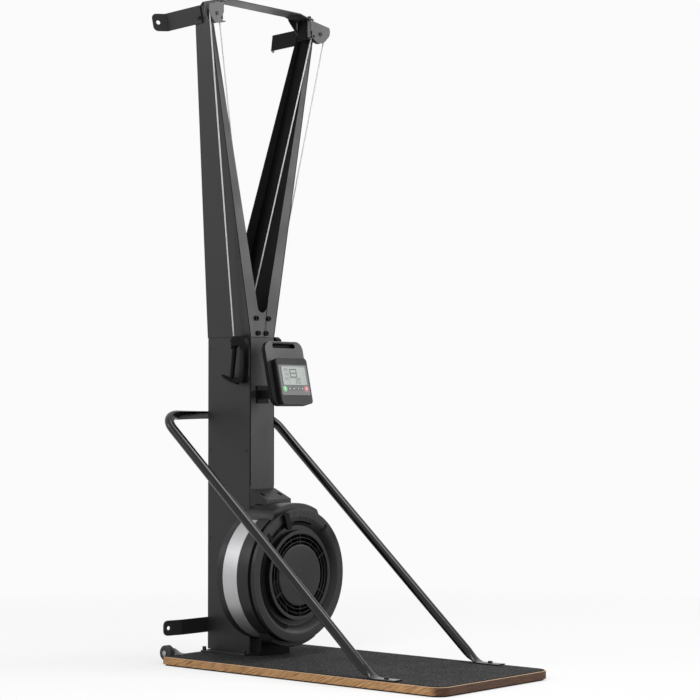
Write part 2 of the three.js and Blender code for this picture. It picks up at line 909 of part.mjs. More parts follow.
function driveCord(side, drumY) {
  const frame = pulleyFrame(side);
  const entry = columnEntry(side, drumY);
  const outer = leaveAngle(frame, handleInlet(side), true);
  const inner = leaveAngle(frame, entry, false);
  const points = [];
  const wrapSteps = 14;
  for (let i = 0; i <= wrapSteps; i += 1) {
    points.push(frame.onWheel(outer + ((inner - outer) * i) / wrapSteps));
  }
  const leave = points[points.length - 1];
  const slope = entry.clone().sub(leave).normalize();
  points.push(entry.clone().addScaledVector(slope, -cordBendLength));
  points.push(entry.clone().addScaledVector(slope, -cordBendLength / 4));
  points.push(entry.clone().add(new THREE.Vector3(0, 0, -cordBendLength / 4)));
  points.push(entry.clone().add(new THREE.Vector3(0, 0, -cordBendLength)));
  points.push(new THREE.Vector3(entry.x, entry.y, flyHeight));
  return sweep(points, cordRadius, cordSides);
}

// A round section carried along a line of points, turned as little as possible from step to step
function sweep(points, radius, count) {
  const last = points.length - 1;
  const tangents = points.map((point, i) => points[Math.min(i + 1, last)].clone()
    .sub(points[Math.max(i - 1, 0)]).normalize());
  let normal = new THREE.Vector3(0, 1, 0);
  const rings = points.map((point, i) => {
    normal = normal.clone().addScaledVector(tangents[i], -normal.dot(tangents[i])).normalize();
    return ringAt(point, tangents[i], normal, radius, radius, count);
  });
  return loft(rings);
}

function ringAt(centre, tangent, normal, halfWidth, halfHeight, count) {
  const lateral = normal.clone().cross(tangent);
  const ring = [];
  for (let i = 0; i < count; i += 1) {
    const angle = (2 * Math.PI * i) / count;
    ring.push(centre.clone()
      .addScaledVector(lateral, halfWidth * Math.cos(angle))
      .addScaledVector(normal, halfHeight * Math.sin(angle)));
  }
  return ring;
}

function cordDrum(drumY) {
  const half = drumWidth / 2;
  const profile = [
    [shaftRadius + fit, -half],
    [drumFlangeRadius, -half],
    [drumFlangeRadius, -half + drumFlange],
    [drumRadius, -half + drumFlange],
    [drumRadius, half - drumFlange],
    [drumFlangeRadius, half - drumFlange],
    [drumFlangeRadius, half],
    [shaftRadius + fit, half],
  ];
  return turned(profile, rodSides).translate(0, drumY, flyHeight);
}

function addCords() {
  const drumPlaces = [leftDrumY, rightDrumY];
  sides.forEach(([name, side], i) => {
    place(`${name}_handle_cord`, handleCord(side), cordGrey());
    place(`${name}_drive_cord`, driveCord(side, drumPlaces[i]), cordGrey());
    place(`${name}_cord_drum`, cordDrum(drumPlaces[i]), darkPlastic());
  });
}

// Wall brackets: flat strips with a turned tab at the end, holed for a wall bolt
function wallTab(length, height, corner) {
  const shape = new THREE.Shape();
  const half = height / 2;
  shape.absarc(length - corner, -half + corner, corner, -Math.PI / 2, 0);
  shape.absarc(length - corner, half - corner, corner, 0, Math.PI / 2);
  shape.lineTo(0, half);
  shape.lineTo(0, -half);
  const hole = new THREE.Path();
  hole.absarc(length - wallHoleInset, 0, wallHoleRadius, 0, 2 * Math.PI, true);
  shape.holes.push(hole);
  return plateXZ(shape, 0, wallSheet);
}

function upperWallBracket() {
  const middle = (upperStripBottom + upperStripTop) / 2;
  const inner = armOuter(middle) + fit;
  const strip = box(
    [inner, upperStripFront, upperStripBottom],
    [inner + wallSheet, upperStripBack, upperStripTop],
  );
  const tab = wallTab(upperTabLength, upperStripTop - upperStripBottom, upperTabCorner);
  tab.rotateZ(upperTabTurn);
  const lift = wallSheet * Math.sin(upperTabTurn);
  tab.translate(inner + lift, upperStripBack - wallSheet, middle);
  const bracket = join(strip, tab);
  bracket.translate(0, -upperStripFront, -middle);
  bracket.rotateX(-upperStripTilt);
  bracket.translate(0, upperStripFront, middle);
  return leaned(bracket, armSpread, 0, middle);
}

function lowerWallBracket() {
  const middle = (lowerStripBottom + lowerStripTop) / 2;
  const front = columnRear + fit;
  const strip = box(
    [-lowerStripHalf, front, lowerStripBottom],
    [lowerStripHalf, front + wallSheet, lowerStripTop],
  );
  const tab = wallTab(lowerTabLength, lowerStripTop - lowerStripBottom, lowerTabCorner);
  tab.rotateZ(lowerTabTurn);
  tab.translate(lowerStripHalf - wallSheet / 2, front, middle);
  return join(strip, tab, mirrored(tab));
}

// Brace: one bent tube round the back of the column, with its two feet pressed flat
function braceRings() {
  const rise = new THREE.Vector3(0, braceTopY - braceLowY, braceTopZ - braceLowZ).normalize();
  const along = new THREE.Vector3(0, 1, 0);
  const up = new THREE.Vector3(0, 0, 1);
  const normal = new THREE.Vector3(1, 0, 0).cross(rise);
  const footZ = matTop + fit + footSheet / 2;
  const neckRise = along.clone().add(rise).normalize();
  const neckNormal = new THREE.Vector3(1, 0, 0).cross(neckRise);
  const ring = (x, y, z, tangent, across, half, depth) =>
    ringAt(new THREE.Vector3(x, y, z), tangent, across, half, depth, braceSides);
  const rings = [
    ring(-footX, footEndY, footZ, along, up, footHalf, footSheet / 2),
    ring(-footX, footCreaseY, footZ, along, up, footHalf, footSheet / 2),
    ring(-footX, footNeckY, footNeckZ, neckRise, neckNormal, footNeckHalf, footNeckSheet / 2),
    ring(-braceHalf, braceLowY, braceLowZ, rise, normal, braceRadius, braceRadius),
  ];
  const top = new THREE.Vector3(-braceHalf, braceTopY, braceTopZ);
  const bendStart = top.clone().addScaledVector(rise, -braceBend);
  const inward = new THREE.Vector3(1, 0, 0);
  const centre = bendStart.clone().addScaledVector(inward, braceBend);
  for (let i = 0; i <= braceBendSteps; i += 1) {
    const angle = (Math.PI / 2) * (i / braceBendSteps);
    const point = centre.clone()
      .addScaledVector(inward, -braceBend * Math.cos(angle))
      .addScaledVector(rise, braceBend * Math.sin(angle));
    const tangent = rise.clone().multiplyScalar(Math.cos(angle))
      .addScaledVector(inward, Math.sin(angle));
    rings.push(ringAt(point, tangent, normal, braceRadius, braceRadius, braceSides));
  }
  return rings;
}

function braceTube() {
  const half = braceRings();
  const otherHalf = half.map((ring) => ring.map((point) => point.clone().setX(-point.x))).reverse();
  return loft([...half, ...otherHalf]);
}

function addFrame() {
  for (const [name, side] of sides) {
    place(`${name}_arm`, arm(side), blackPaint());
    place(`${name}_upper_wall_bracket`, onSide(side, upperWallBracket()), blackPaint());
  }
  place('top_bridge', topBridge(), blackPaint());
  place('lower_wall_bracket', lowerWallBracket(), blackPaint());
  place('brace_tube', braceTube(), blackPaint());
}

// Flywheel housing, front to back: grille cap, front cover, mid ring, steel band, rear shell
function rearShell() {
  return turned([
    [bearingRadius + 2 * fit, shellBack],
    [rearShellRadius, shellBack],
    [rearShellRadius, shellFront],
    [rearShellRadius - shellSheet, shellFront],
    [rearShellRadius - shellSheet, shellBack - shellSheet],
    [bearingRadius + 2 * fit, shellBack - shellSheet],
  ]);
}

const flyBand = () => turned([
  [bandRadius, shellFront - fit],
  [bandRadius, bandFront],
  [bandRadius - 3 * bandSheet, bandFront],
  [bandRadius - 3 * bandSheet, bandFront + bandSheet],
  [bandRadius - bandSheet, bandFront + bandSheet],
  [bandRadius - bandSheet, shellFront - fit - bandSheet],
  [rearShellRadius - shellSheet, shellFront - fit - bandSheet],
  [rearShellRadius - shellSheet, shellFront - fit],
]);

// The ring bulges into a cowl over the band at the top, and into a belly at the bottom
function midRing() {
  const ring = turned([
    [midRingLip, bandFront - fit],
    [midRingLip, midBack],
    [midRingRadius, midBack],
    [midRingRadius, midFront],
    [frontNeck - shellSheet, midFront],
    [frontNeck - shellSheet, midFront + shellSheet],
    [midRingLip - shellSheet, midFront + shellSheet],
    [midRingLip - shellSheet, bandFront - fit],
  ]);
  const bulge = (from, to, near, far) => {
    const band = arcBand(cowlInner, cowlOuter, from, to).getPoints(cowlSteps);
    return plateXZ(new THREE.Shape(band), near, far);
  };
  return join(
    ring,
    bulge(cowlFrom, cowlTo, frontBack + cowlGap, shellFront - cowlGap),
    bulge(bellyFrom, bellyTo, midFront, midBack),
  );
}

function frontCover() {
  const neckBack = midFront - fit;
  const cover = turned([
    [frontNeck, neckBack],
    [frontNeck, frontBack],
    [frontRadius, frontBack],
    [frontRadius, frontFace],
    [frontFaceInner, frontFace],
    [frontFaceInner, recessFloor],
    [recessInner, recessFloor],
    [recessInner, recessFloor + shellSheet],
    [frontFaceInner + shellSheet, recessFloor + shellSheet],
    [frontFaceInner + shellSheet, frontFace + shellSheet],
    [frontRadius - shellSheet, frontFace + shellSheet],
    [frontRadius - shellSheet, frontBack - shellSheet],
    [frontNeck - shellSheet, frontBack - shellSheet],
    [frontNeck - shellSheet, neckBack],
  ]);
  return cut(cover, damperSlotTool()).translate(0, 0, flyHeight);
}

// A curved slot for the damper's stem, as long as its travel
function arcBand(inner, outer, from, to) {
  const shape = new THREE.Shape();
  shape.absarc(0, 0, outer, from, to);
  shape.absarc(0, 0, inner, to, from, true);
  return shape;
}

function damperSlotTool() {
  const margin = (damperStem + 2 * fit) / stemRadius;
  const shape = arcBand(
    stemRadius - damperSlot / 2,
    stemRadius + damperSlot / 2,
    damperAngle - damperTravel - margin,
    damperAngle + margin,
  );
  return plateXZ(shape, frontFace - overrun, frontFace + shellSheet + fit);
}

function grillCap() {
  const seat = recessFloor - fit;
  const front = seat - capDepth;
  const disc = new THREE.Shape();
  disc.absarc(0, 0, capRadius, 0, 2 * Math.PI);
  const pitch = (capRadius - capSheet - capDisc) / slotRings;
  for (let ring = 0; ring < slotRings; ring += 1) {
    const inner = capDisc + ring * pitch;
    const outer = inner + pitch - slotRib;
    for (let spoke = 0; spoke < slotSpokes; spoke += 1) {
      const half = spokeWidth / 2 / inner;
      const from = (2 * Math.PI * spoke) / slotSpokes + half;
      const to = (2 * Math.PI * (spoke + 1)) / slotSpokes - half;
      disc.holes.push(new THREE.Path(arcBand(inner, outer, from, to).getPoints(arcSteps)));
    }
  }
  const face = new THREE.ExtrudeGeometry(disc, {
    depth: capSheet,
    bevelEnabled: false,
    curveSegments: drumSides / 2,
  });
  face.rotateX(Math.PI / 2);
  face.translate(0, front + capSheet, 0);
  const rim = turned([
    [capRadius - capSheet, front],
    [capRadius, front],
    [capRadius, seat],
    [capRadius - capSheet, seat],
  ]);
  return join(face, rim).translate(0, 0, flyHeight);
}

function fanRotor() {
  const hub = turned([
    [shaftRadius + fit, fanFrontY],
    [hubRadius, fanFrontY],
    [hubRadius, fanBackY - fanSheet],
    [fanRadius, fanBackY - fanSheet],
    [fanRadius, fanBackY],
    [shaftRadius + fit, fanBackY],
  ], rodSides);
  const pieces = [hub];
  for (let i = 0; i < fanBlades; i += 1) {
    const blade = box(
      [fanInner, fanFrontY, -fanBladeSheet / 2],
      [fanRadius, fanBackY - fanSheet + fit, fanBladeSheet / 2],
    );
    blade.rotateY((2 * Math.PI * i) / fanBlades);
    pieces.push(blade);
  }
  return join(...pieces).translate(0, 0, flyHeight);
}

function bearing(front) {
  return turned([
    [shaftRadius + fit, front],
    [bearingRadius, front],
    [bearingRadius, front + bearingWidth],
    [shaftRadius + fit, front + bearingWidth],
  ], rodSides).translate(0, 0, flyHeight);
}

// Damper: a knob on the front ring, a stem through the slot and a shutter plate behind it
function damperLever() {
  const knobBack = frontFace - fit;
  const knob = plateXZ(
    roundedRect(damperKnobWidth, damperKnobLength, damperKnobWidth / 3),
    knobBack - damperKnobHeight,
    knobBack,
  );
  knob.rotateY(Math.PI / 2 - damperAngle);
  const x = damperRadius * Math.cos(damperAngle);
  const z = damperRadius * Math.sin(damperAngle);
  knob.translate(x, 0, z);
  const shutterFront = frontFace + shellSheet + shutterGap;
  const stemX = stemRadius * Math.cos(damperAngle);
  const stemZ = stemRadius * Math.sin(damperAngle);
  const stem = rod('y', damperStem, knobBack - fit, shutterFront + fit, stemX, stemZ, smallSides);
  const shutter = plateXZ(
    arcBand(shutterInner, shutterOuter, damperAngle - shutterSpread / 2, damperAngle + shutterSpread / 2),
    shutterFront,
    shutterFront + shutterSheet,
  );
  return join(knob, stem, shutter).translate(0, 0, flyHeight);
}

// A block whose lower or upper edge follows the round housing
function roundEdge(half, level, housing) {
  const radius = housing + fit;
  const reach = Math.asin(half / radius);
  const up = level > flyHeight ? 1 : -1;
  const shape = new THREE.Shape();
  shape.moveTo(half, level);
  shape.lineTo(-half, level);
  if (up > 0) {
    shape.absarc(0, flyHeight, radius, Math.PI / 2 + reach, Math.PI / 2 - reach, true);
  } else {
    shape.absarc(0, flyHeight, radius, -Math.PI / 2 - reach, -Math.PI / 2 + reach);
  }
  return shape;
}

function housingMountBracket() {
  const back = columnFront - fit;
  const edge = roundEdge(bracketHalf, bracketLow, cowlOuter);
  const lip = plateXZ(edge, bracketLip - bracketLipDepth, bracketLip);
  const sheetOutline = outline([
    [back, bracketHigh - bracketTab],
    [back, bracketHigh],
    [back - bracketSheet, bracketHigh],
    [bracketLip - bracketLipDepth, bracketLow + bracketSheet],
    [bracketLip - bracketLipDepth, bracketLow - bracketSheet],
    [bracketLip, bracketLow - bracketSheet],
    [back - bracketSheet, bracketHigh - 2 * bracketSheet],
    [back - bracketSheet, bracketHigh - bracketTab],
  ]);
  const cheekOutline = outline([
    [back, cheekRearBottom],
    [back, bracketHigh],
    [back - bracketSheet, bracketHigh],
    [bracketLip - bracketLipDepth, bracketLow],
    [bracketLip - bracketLipDepth, cheekBottom],
    [shellFront + cowlGap, cheekBottom],
    [shellFront + cowlGap, cheekRearBottom],
  ]);
  return join(
    lip,
    plateYZ(sheetOutline, -bracketHalf, bracketHalf),
    plateYZ(cheekOutline, -bracketHalf, bracketSheet - bracketHalf),
    plateYZ(cheekOutline, bracketHalf - bracketSheet, bracketHalf),
  );
}

function housingSaddle() {
  const edge = roundEdge(saddleHalf, matTop, bandRadius);
  const post = plateXZ(edge, saddleFront, saddleFront + footPlateThickness);
  const foot = box([-saddleHalf, saddleFront, matTop], [saddleHalf, saddleBack, matTop + footPlateThickness]);
  return join(post, foot);
}

function addFlywheel() {
  const raised = (geometry) => geometry.translate(0, 0, flyHeight);
  place('flywheel_rear_shell', raised(rearShell()), darkPlastic());
  place('flywheel_band', raised(flyBand()), satinSteel());
  place('flywheel_mid_ring', raised(midRing()), darkPlastic());
  place('flywheel_front_cover', frontCover(), darkPlastic());
  place('grill_cap', grillCap(), darkPlastic());
  place('fan_rotor', fanRotor(), greySteel());
  const shaftBack = columnRear - columnWall - fit;
  const shaftFront = fanFrontY - shaftFrontGap;
  place('drive_shaft', rod('y', shaftRadius, shaftFront, shaftBack, 0, flyHeight), satinSteel());
  place('front_bearing', bearing(columnFront - fit - shellSheet), satinSteel());
  place('rear_bearing', bearing(shaftBack - bearingWidth), satinSteel());
  place('damper_lever', damperLever(), darkPlastic());
  place('housing_mount_bracket', housingMountBracket(), blackPaint());
  place('housing_saddle', housingSaddle(), blackPaint());
}

// Handle: a cap, a guard round the fingers, a grip bar and a flared foot
const guardOuterShares = [
  [1, 0.72], [1, 0.95], [0.8, 1], [0.25, 1],
  [0.06, 0.95], [0, 0.86], [0, 0.35], [0.05, 0.15],
];
const guardFootShares = [[0.18, 0.01], [0.62, 0], [0.9, 0.06], [0.8, 0.12]];
const guardInnerShares = [[0.6, 0.08], [0.4, 0.12], [0.26, 0.22]];

function guardShape() {
  const depth = handleRear - handleFront;
  const height = handleTop - handleBottom;
  const at = ([a, b]) => [handleFront + a * depth, handleBottom + b * height];
  const inner = handleFront + guardThickness;
  const points = [
    ...guardOuterShares.map(at),
    ...guardFootShares.map(at),
    ...guardInnerShares.map(at),
    [inner, handleBottom + height * guardOuterShares[6][1]],
    [inner, capBottom - guardThickness],
    [inner + guardThickness / 2, capBottom],
    [gripTopY - gripTopRadius, capBottom],
  ];
  return outline(points);
}

function handleFlange() {
  const ellipse = new THREE.Shape();
  ellipse.absellipse(0, 0, flangeHalfWidth, flangeHalfLength, 0, 2 * Math.PI);
  const plate = new THREE.ExtrudeGeometry(ellipse, {
    depth: flangeSheet,
    bevelEnabled: false,
    curveSegments: smallSides,
  });
  plate.rotateX(flangeTilt);
  return plate.translate(0, flangeY, flangeZ - flangeSheet / 2);
}

function handle() {
  const guard = new THREE.ExtrudeGeometry(guardShape(), {
    depth: 2 * (handleHalf - handleBevel),
    bevelEnabled: true,
    bevelThickness: handleBevel,
    bevelSize: handleBevel,
    bevelOffset: -handleBevel,
    bevelSegments: 1,
  });
  guard.rotateX(Math.PI / 2);
  guard.rotateZ(Math.PI / 2);
  guard.translate(-handleHalf + handleBevel, 0, 0);
  const top = new THREE.Vector3(0, gripTopY, gripTopZ);
  const foot = new THREE.Vector3(0, gripFootY, gripFootZ);
  const direction = top.clone().sub(foot).normalize();
  const flangeUp = new THREE.Vector3(0, -Math.sin(flangeTilt), Math.cos(flangeTilt));
  const normal = new THREE.Vector3(1, 0, 0);
  const grip = loft([
    ringAt(foot, flangeUp, normal, gripFootRadius, gripFootRadius, smallSides),
    ringAt(top, direction, normal, gripTopRadius, gripTopRadius, smallSides),
  ]);
  const inlet = rod('z', inletRadius, inletZ - inletDepth, inletZ, 0, inletY, smallSides);
  return join(guard, grip, handleFlange(), inlet).translate(handleX, 0, 0);
}

function handleHook() {
  const wall = columnWidth / 2 + fit;
  const plate = box(
    [wall, hookFront, hookZ - hookPlateHalf],
    [wall + hookSheet, hookFront + 2 * hookPlateHalf, hookZ + hookPlateHalf / 2],
  );
  const railX = wall + hookStandoff - hookRadius / 2;
  const rail = rod('y', hookRadius, hookFront, hookBack, railX, hookZ, smallSides);
  const end = rod('x', hookRadius, wall, wall + hookReach, hookBack, hookZ, smallSides);
  return join(plate, rail, end);
}

function addHandles() {
  for (const [name, side] of sides) {
    place(`${name}_handle`, onSide(side, handle()), darkPlastic());
    place(`${name}_handle_hook`, onSide(side, handleHook()), blackPaint());
  }
}

// Display unit: a moulded housing on a tilting bracket, a front panel, a lens and six buttons.
// They share the panel's frame: its face towards -Y, its middle at the origin, depth along +Y.
function consoleHousing() {
  const block = plateXZ(
    roundedRect(2 * panelHalf, panelHeight, panelCorner),
    panelThickness + fit,
    shellStart + fit,
  );
  const shellBottom = -panelHeight / 2;
  const shell = plateXZ(
    roundedRect(2 * shellHalf, shellRise - shellBottom, shellCorner),
    shellStart,
    shellStart + shellThickness,
  );
  shell.translate(0, 0, (shellRise + shellBottom) / 2);
  const [depth, rise] = pivotInPanel();
  const shellBack = shellStart + shellThickness;
  const ear = (from) => join(
    rod('x', earRadius, from, from + earSheet, depth, rise),
    box([from, shellBack - fit, rise - earRadius], [from + earSheet, depth, rise + earRadius]),
  );
  return join(block, shell, ear(pivotHalf + fit), ear(-pivotHalf - fit - earSheet));
}

// The tilting pivot, seen from the panel: how far behind it and how far above its middle
function pivotInPanel() {
  const back = pivotY - panelY;
  const up = pivotZ - panelZ;
  return [
    back * Math.cos(panelTilt) - up * Math.sin(panelTilt),
    back * Math.sin(panelTilt) + up * Math.cos(panelTilt),
  ];
}

function consoleBracket() {
  const back = columnFront - fit;
  const plate = box(
    [-consolePlateHalf, back - consolePlateSheet, pivotZ - consolePlateHalf],
    [consolePlateHalf, back, pivotZ + consolePlateHalf],
  );
  const neck = box([-pivotHalf, pivotY, pivotZ - pivotRadius], [pivotHalf, back, pivotZ + pivotRadius]);
  const eye = rod('x', pivotRadius, -pivotHalf, pivotHalf, pivotY, pivotZ);
  return join(plate, neck, eye);
}

const buttonX = (i) => (i - (buttonCount - 1) / 2) * buttonPitch;

function consolePanel() {
  const shape = roundedRect(2 * panelHalf, panelHeight, panelCorner);
  for (let i = 0; i < buttonCount; i += 1) {
    const hole = new THREE.Path();
    hole.absarc(buttonX(i), -buttonDrop, buttonRadius + fit, 0, 2 * Math.PI, true);
    shape.holes.push(hole);
  }
  return plateXZ(shape, 0, panelThickness);
}

function addConsole() {
  place('console_bracket', consoleBracket(), blackPaint());
  const panel = new THREE.Group();
  panel.position.set(0, panelY, panelZ);
  panel.rotation.x = -panelTilt;
  group.add(panel);
  place('console_housing', consoleHousing(), panelGrey(), panel);
  place('console_panel', consolePanel(), panelGrey(), panel);
  const lens = plateXZ(roundedRect(lensWidth, lensHeight, lensSheet), -lensSheet - fit, -fit);
  place('display_lens', lens.translate(0, 0, lensRise), lcdGreen(), panel);
  const whites = [1, 2, 3, 4].map((number) => `white_button_${number}`);
  const names = ['green_button', ...whites, 'red_button'];
  const colors = [0x8fe0a0, 0xf2f2f2, 0xf2f2f2, 0xf2f2f2, 0xf2f2f2, 0xe88a90];
  names.forEach((name, i) => {
    const button = rod(
      'y', buttonRadius, -buttonProud, buttonLength - buttonProud,
      buttonX(i), -buttonDrop, smallSides,
    );
    place(name, button, paint(colors[i], 0.4, 0), panel);
  });
}

// Transport wheels at the back corners of the board
function wheelBracket() {
  const earInner = wheelX - wheelWidth / 2 - wheelGap - wheelEarSheet;
  const earOuter = earInner + wheelEarSheet;
  const plate = box(
    [wheelPlateStart, wheelPlateFront, matTop],
    [earOuter, wheelPlateBack, matTop + wheelPlateSheet],
  );
  const ear = plateYZ(outline([
    [wheelPlateFront, matTop],
    [wheelEarFront, matTop],
    [wheelEarFront, wheelEarBottom],
    [wheelEarBack, wheelEarBottom],
    [wheelEarBack, wheelEarTop],
    [wheelEarFront, wheelEarTop],
    [wheelPlateFront, matTop + wheelPlateSheet],
  ]), earInner, earOuter);
  const capAt = wheelX + wheelWidth / 2 + wheelGap;
  const axle = rod('x', wheelAxleRadius, earOuter - fit, capAt + fit, wheelY, wheelZ, smallSides);
  const cap = rod('x', wheelCapRadius, capAt, capAt + wheelCapSheet, wheelY, wheelZ, smallSides);
  return join(plate, ear, axle, cap);
}

function transportWheel() {
  const half = wheelWidth / 2;
  const bore = wheelAxleRadius + 2 * fit;
  const wheel = turned([
    [bore, -half],
    [wheelRadius - matThickness, -half],
    [wheelRadius, -half + matThickness],
    [wheelRadius, half - matThickness],
    [wheelRadius - matThickness, half],
    [bore, half],
  ], rodSides);
  wheel.rotateZ(-Math.PI / 2);
  return wheel.translate(wheelX, wheelY, wheelZ);
}

function addTransportWheels() {
  for (const [name, side] of sides) {
    place(`${name}_wheel_bracket`, onSide(side, wheelBracket()), greySteel());
    place(`${name}_transport_wheel`, onSide(side, transportWheel()), rubber());
  }
}

addBoard();
addColumn();
addFrame();
addPulleys();
addCords();
addFlywheel();
addHandles();
addConsole();
addTransportWheels();

export default group;
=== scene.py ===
# %% [markdown]
# # A ski trainer, dressed piece by piece on its CAD frame
# The machine is a column on a wooden board. Two spread arms carry a pulley each, two cords run from
# the handles over the pulleys and down to a fan flywheel, and a display tilts in front of the column.
# The CAD frame says where every piece is and how it moves. This lesson gives each piece its real
# surface: rounded edges, turned rings, moulded grips, and finishes from nodes.

# %% Load the frame
import json
from math import acos, atan2, cos, hypot, pi, radians, sin

import bmesh
import bpy
from mathutils import Matrix, Vector


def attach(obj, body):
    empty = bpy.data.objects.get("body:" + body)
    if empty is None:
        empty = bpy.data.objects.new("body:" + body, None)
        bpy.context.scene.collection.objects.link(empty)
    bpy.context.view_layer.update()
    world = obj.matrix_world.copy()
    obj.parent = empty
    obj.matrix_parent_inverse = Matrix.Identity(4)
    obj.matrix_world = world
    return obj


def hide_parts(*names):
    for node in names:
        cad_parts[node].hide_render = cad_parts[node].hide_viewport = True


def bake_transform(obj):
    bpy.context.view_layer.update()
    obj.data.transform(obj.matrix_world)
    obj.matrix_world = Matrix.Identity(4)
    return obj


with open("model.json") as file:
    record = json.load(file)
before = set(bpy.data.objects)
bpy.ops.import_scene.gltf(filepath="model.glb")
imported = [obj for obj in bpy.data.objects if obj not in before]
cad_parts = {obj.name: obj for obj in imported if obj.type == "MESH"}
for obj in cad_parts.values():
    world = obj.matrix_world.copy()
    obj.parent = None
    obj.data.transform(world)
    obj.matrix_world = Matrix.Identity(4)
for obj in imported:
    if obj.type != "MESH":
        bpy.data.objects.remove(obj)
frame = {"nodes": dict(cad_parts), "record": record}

MM = 0.001
scene = bpy.context.scene
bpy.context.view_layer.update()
NODES = frame["nodes"]
SLOTS = {entry["node"]: entry["material_slot"] for entry in frame["record"]["subparts"]}
GROUPS = frame["record"]["behaviour"]["bodies"]
BODIES = {node: body for body, nodes in GROUPS.items() for node in nodes}
SIDES = (("left", -1), ("right", 1))

# %% [markdown]
# ## Object and node helpers
# Every node tree here is written as nested calls. One function adds a node and feeds its inputs,
# and a few short ones stand for the nodes that come up most.

# %% Object and node helpers


def in_scene(name, data):
    obj = bpy.data.objects.new(name, data)
    scene.collection.objects.link(obj)
    return obj


def feed(tree, node, inputs):
    """Each input gets a value or a link. A node given as an input lends its first output."""
    for label, value in inputs.items():
        if isinstance(value, bpy.types.Node):
            value = value.outputs[0]
        if isinstance(value, bpy.types.NodeSocket):
            tree.links.new(value, node.inputs[label])
        else:
            node.inputs[label].default_value = value


def add(tree, kind, inputs=None, **settings):
    """A new node. Its settings come first, because they decide which inputs it has."""
    node = tree.nodes.new(kind)
    for label, value in settings.items():
        setattr(node, label, value)
    feed(tree, node, inputs or {})
    return node


def maths(tree, operation, *values):
    return add(tree, "ShaderNodeMath", dict(enumerate(values)), operation=operation)


def times(tree, first, second):
    return maths(tree, "MULTIPLY", first, second)


def ranged(tree, value, low, high, to_low=0, to_high=1):
    """The value, mapped from one range to another and kept inside it."""
    return add(tree, "ShaderNodeMapRange", {
        "Value": value, "From Min": low, "From Max": high, "To Min": to_low, "To Max": to_high})


def object_place(tree):
    return add(tree, "ShaderNodeTexCoord").outputs["Object"]


def noise(tree, scale, detail=2, **settings):
    """Noise in Object coordinates."""
    return add(tree, "ShaderNodeTexNoise", {
        "Vector": object_place(tree), "Scale": scale, "Detail": detail, **settings})


def axes(tree, vector):
    return add(tree, "ShaderNodeSeparateXYZ", {0: vector}).outputs


def facing(tree):
    """The parts of the direction in which the surface faces."""
    return axes(tree, add(tree, "ShaderNodeNewGeometry").outputs["Normal"])


def tinted(tree, color, shade):
    """A colour multiplied by a shade value."""
    return add(tree, "ShaderNodeVectorMath", {0: color, "Scale": shade}, operation="SCALE")


def mixed(tree, share, color_a, color_b):
    """Goes from colour a to colour b by a share."""
    inputs = {"Factor": share, "A": color_a, "B": color_b}
    return add(tree, "ShaderNodeMix", inputs, data_type="RGBA").outputs["Result"]


def bumped(tree, height, distance):
    return add(tree, "ShaderNodeBump", {"Height": height, "Distance": distance})


print("helpers ready")

# %% [markdown]
# ## The camera and the light
# The camera stands left in front of the machine, low, with a long lens, so that the uprights stay
# parallel. The photo shows a white room with broad soft lamps and a pale floor. The world is white
# for the camera and for reflections, and dimmer as a lamp, so that the paint isn't bleached.

# %% Camera
camera_data = bpy.data.cameras.new("camera")
camera_data.lens = 105.7
camera_data.sensor_width = 36
camera = in_scene("camera", camera_data)
camera.location = (-5.092, -4.405, 0.869)
camera.rotation_euler = (radians(91.56), 0, radians(-49.08))
scene.camera = camera
print("camera at", [round(value, 3) for value in camera.location])

# %% World
BACKDROP = 0.962
AMBIENT = 0.3

world = bpy.data.worlds.new("studio")
scene.world = world
world.use_nodes = True
sky = world.node_tree
sky.nodes.clear()
rays = add(sky, "ShaderNodeLightPath").outputs
looks = maths(sky, "MAXIMUM", rays["Is Camera Ray"], rays["Is Glossy Ray"])
looks = maths(sky, "MAXIMUM", looks, rays["Is Transmission Ray"])
seen = add(sky, "ShaderNodeBackground", {"Color": (BACKDROP, BACKDROP, BACKDROP, 1)})
felt = add(sky, "ShaderNodeBackground", {"Color": (1, 1, 1, 1), "Strength": AMBIENT})
either = add(sky, "ShaderNodeMixShader", {"Fac": looks, 1: felt, 2: seen})
add(sky, "ShaderNodeOutputWorld", {"Surface": either})
print("world", world.name, "with", len(sky.nodes), "nodes")

# %% Lamps


def soft_lamp(name, place, aim, width, height, power):
    data = bpy.data.lights.new(name, "AREA")
    data.shape = "RECTANGLE"
    data.size = width
    data.size_y = height
    data.energy = power
    lamp = in_scene(name, data)
    lamp.location = place
    lamp.rotation_euler = (Vector(aim) - Vector(place)).to_track_quat("-Z", "Y").to_euler()
    print("lamp", name, power, "W")


soft_lamp("right_front_lamp", (4.0, -3.3, 2.0), (0, 0.3, 1.3), 3.0, 2.6, 95)
soft_lamp("left_back_lamp", (-3.8, 3.4, 3.0), (0, 0.4, 2.0), 2.4, 1.8, 44)
soft_lamp("left_front_lamp", (-4.4, -1.9, 2.4), (0, 0, 0.3), 1.8, 1.8, 90)
soft_lamp("top_lamp", (0.2, -0.4, 4.8), (0, 0.2, 0), 2.4, 2.4, 110)

# %% [markdown]
# ## Finishes
# Most of the machine is black, and only its gloss tells sheet steel from plastic, rubber or the mat.
# So the finishes share three effects, each a node group: a fine grain that feeds the bump, a slow
# cloudy change of shade, and dust that settles on what faces up. A material mixes them by its own
# values. Everything reads Object coordinates, so nothing slides as the parts move.

# %% Shared node groups


def node_group(name, inputs, outputs):
    """A shader group. Its inputs have these defaults: a tuple is a colour, a number is a value."""
    group = bpy.data.node_groups.new(name, "ShaderNodeTree")
    for label, value in inputs.items():
        kind = "NodeSocketColor" if isinstance(value, tuple) else "NodeSocketFloat"
        socket = group.interface.new_socket(name=label, in_out="INPUT", socket_type=kind)
        socket.default_value = value
    for label, kind in outputs.items():
        group.interface.new_socket(name=label, in_out="OUTPUT", socket_type="NodeSocket" + kind)
    return group, group.nodes.new("NodeGroupInput").outputs


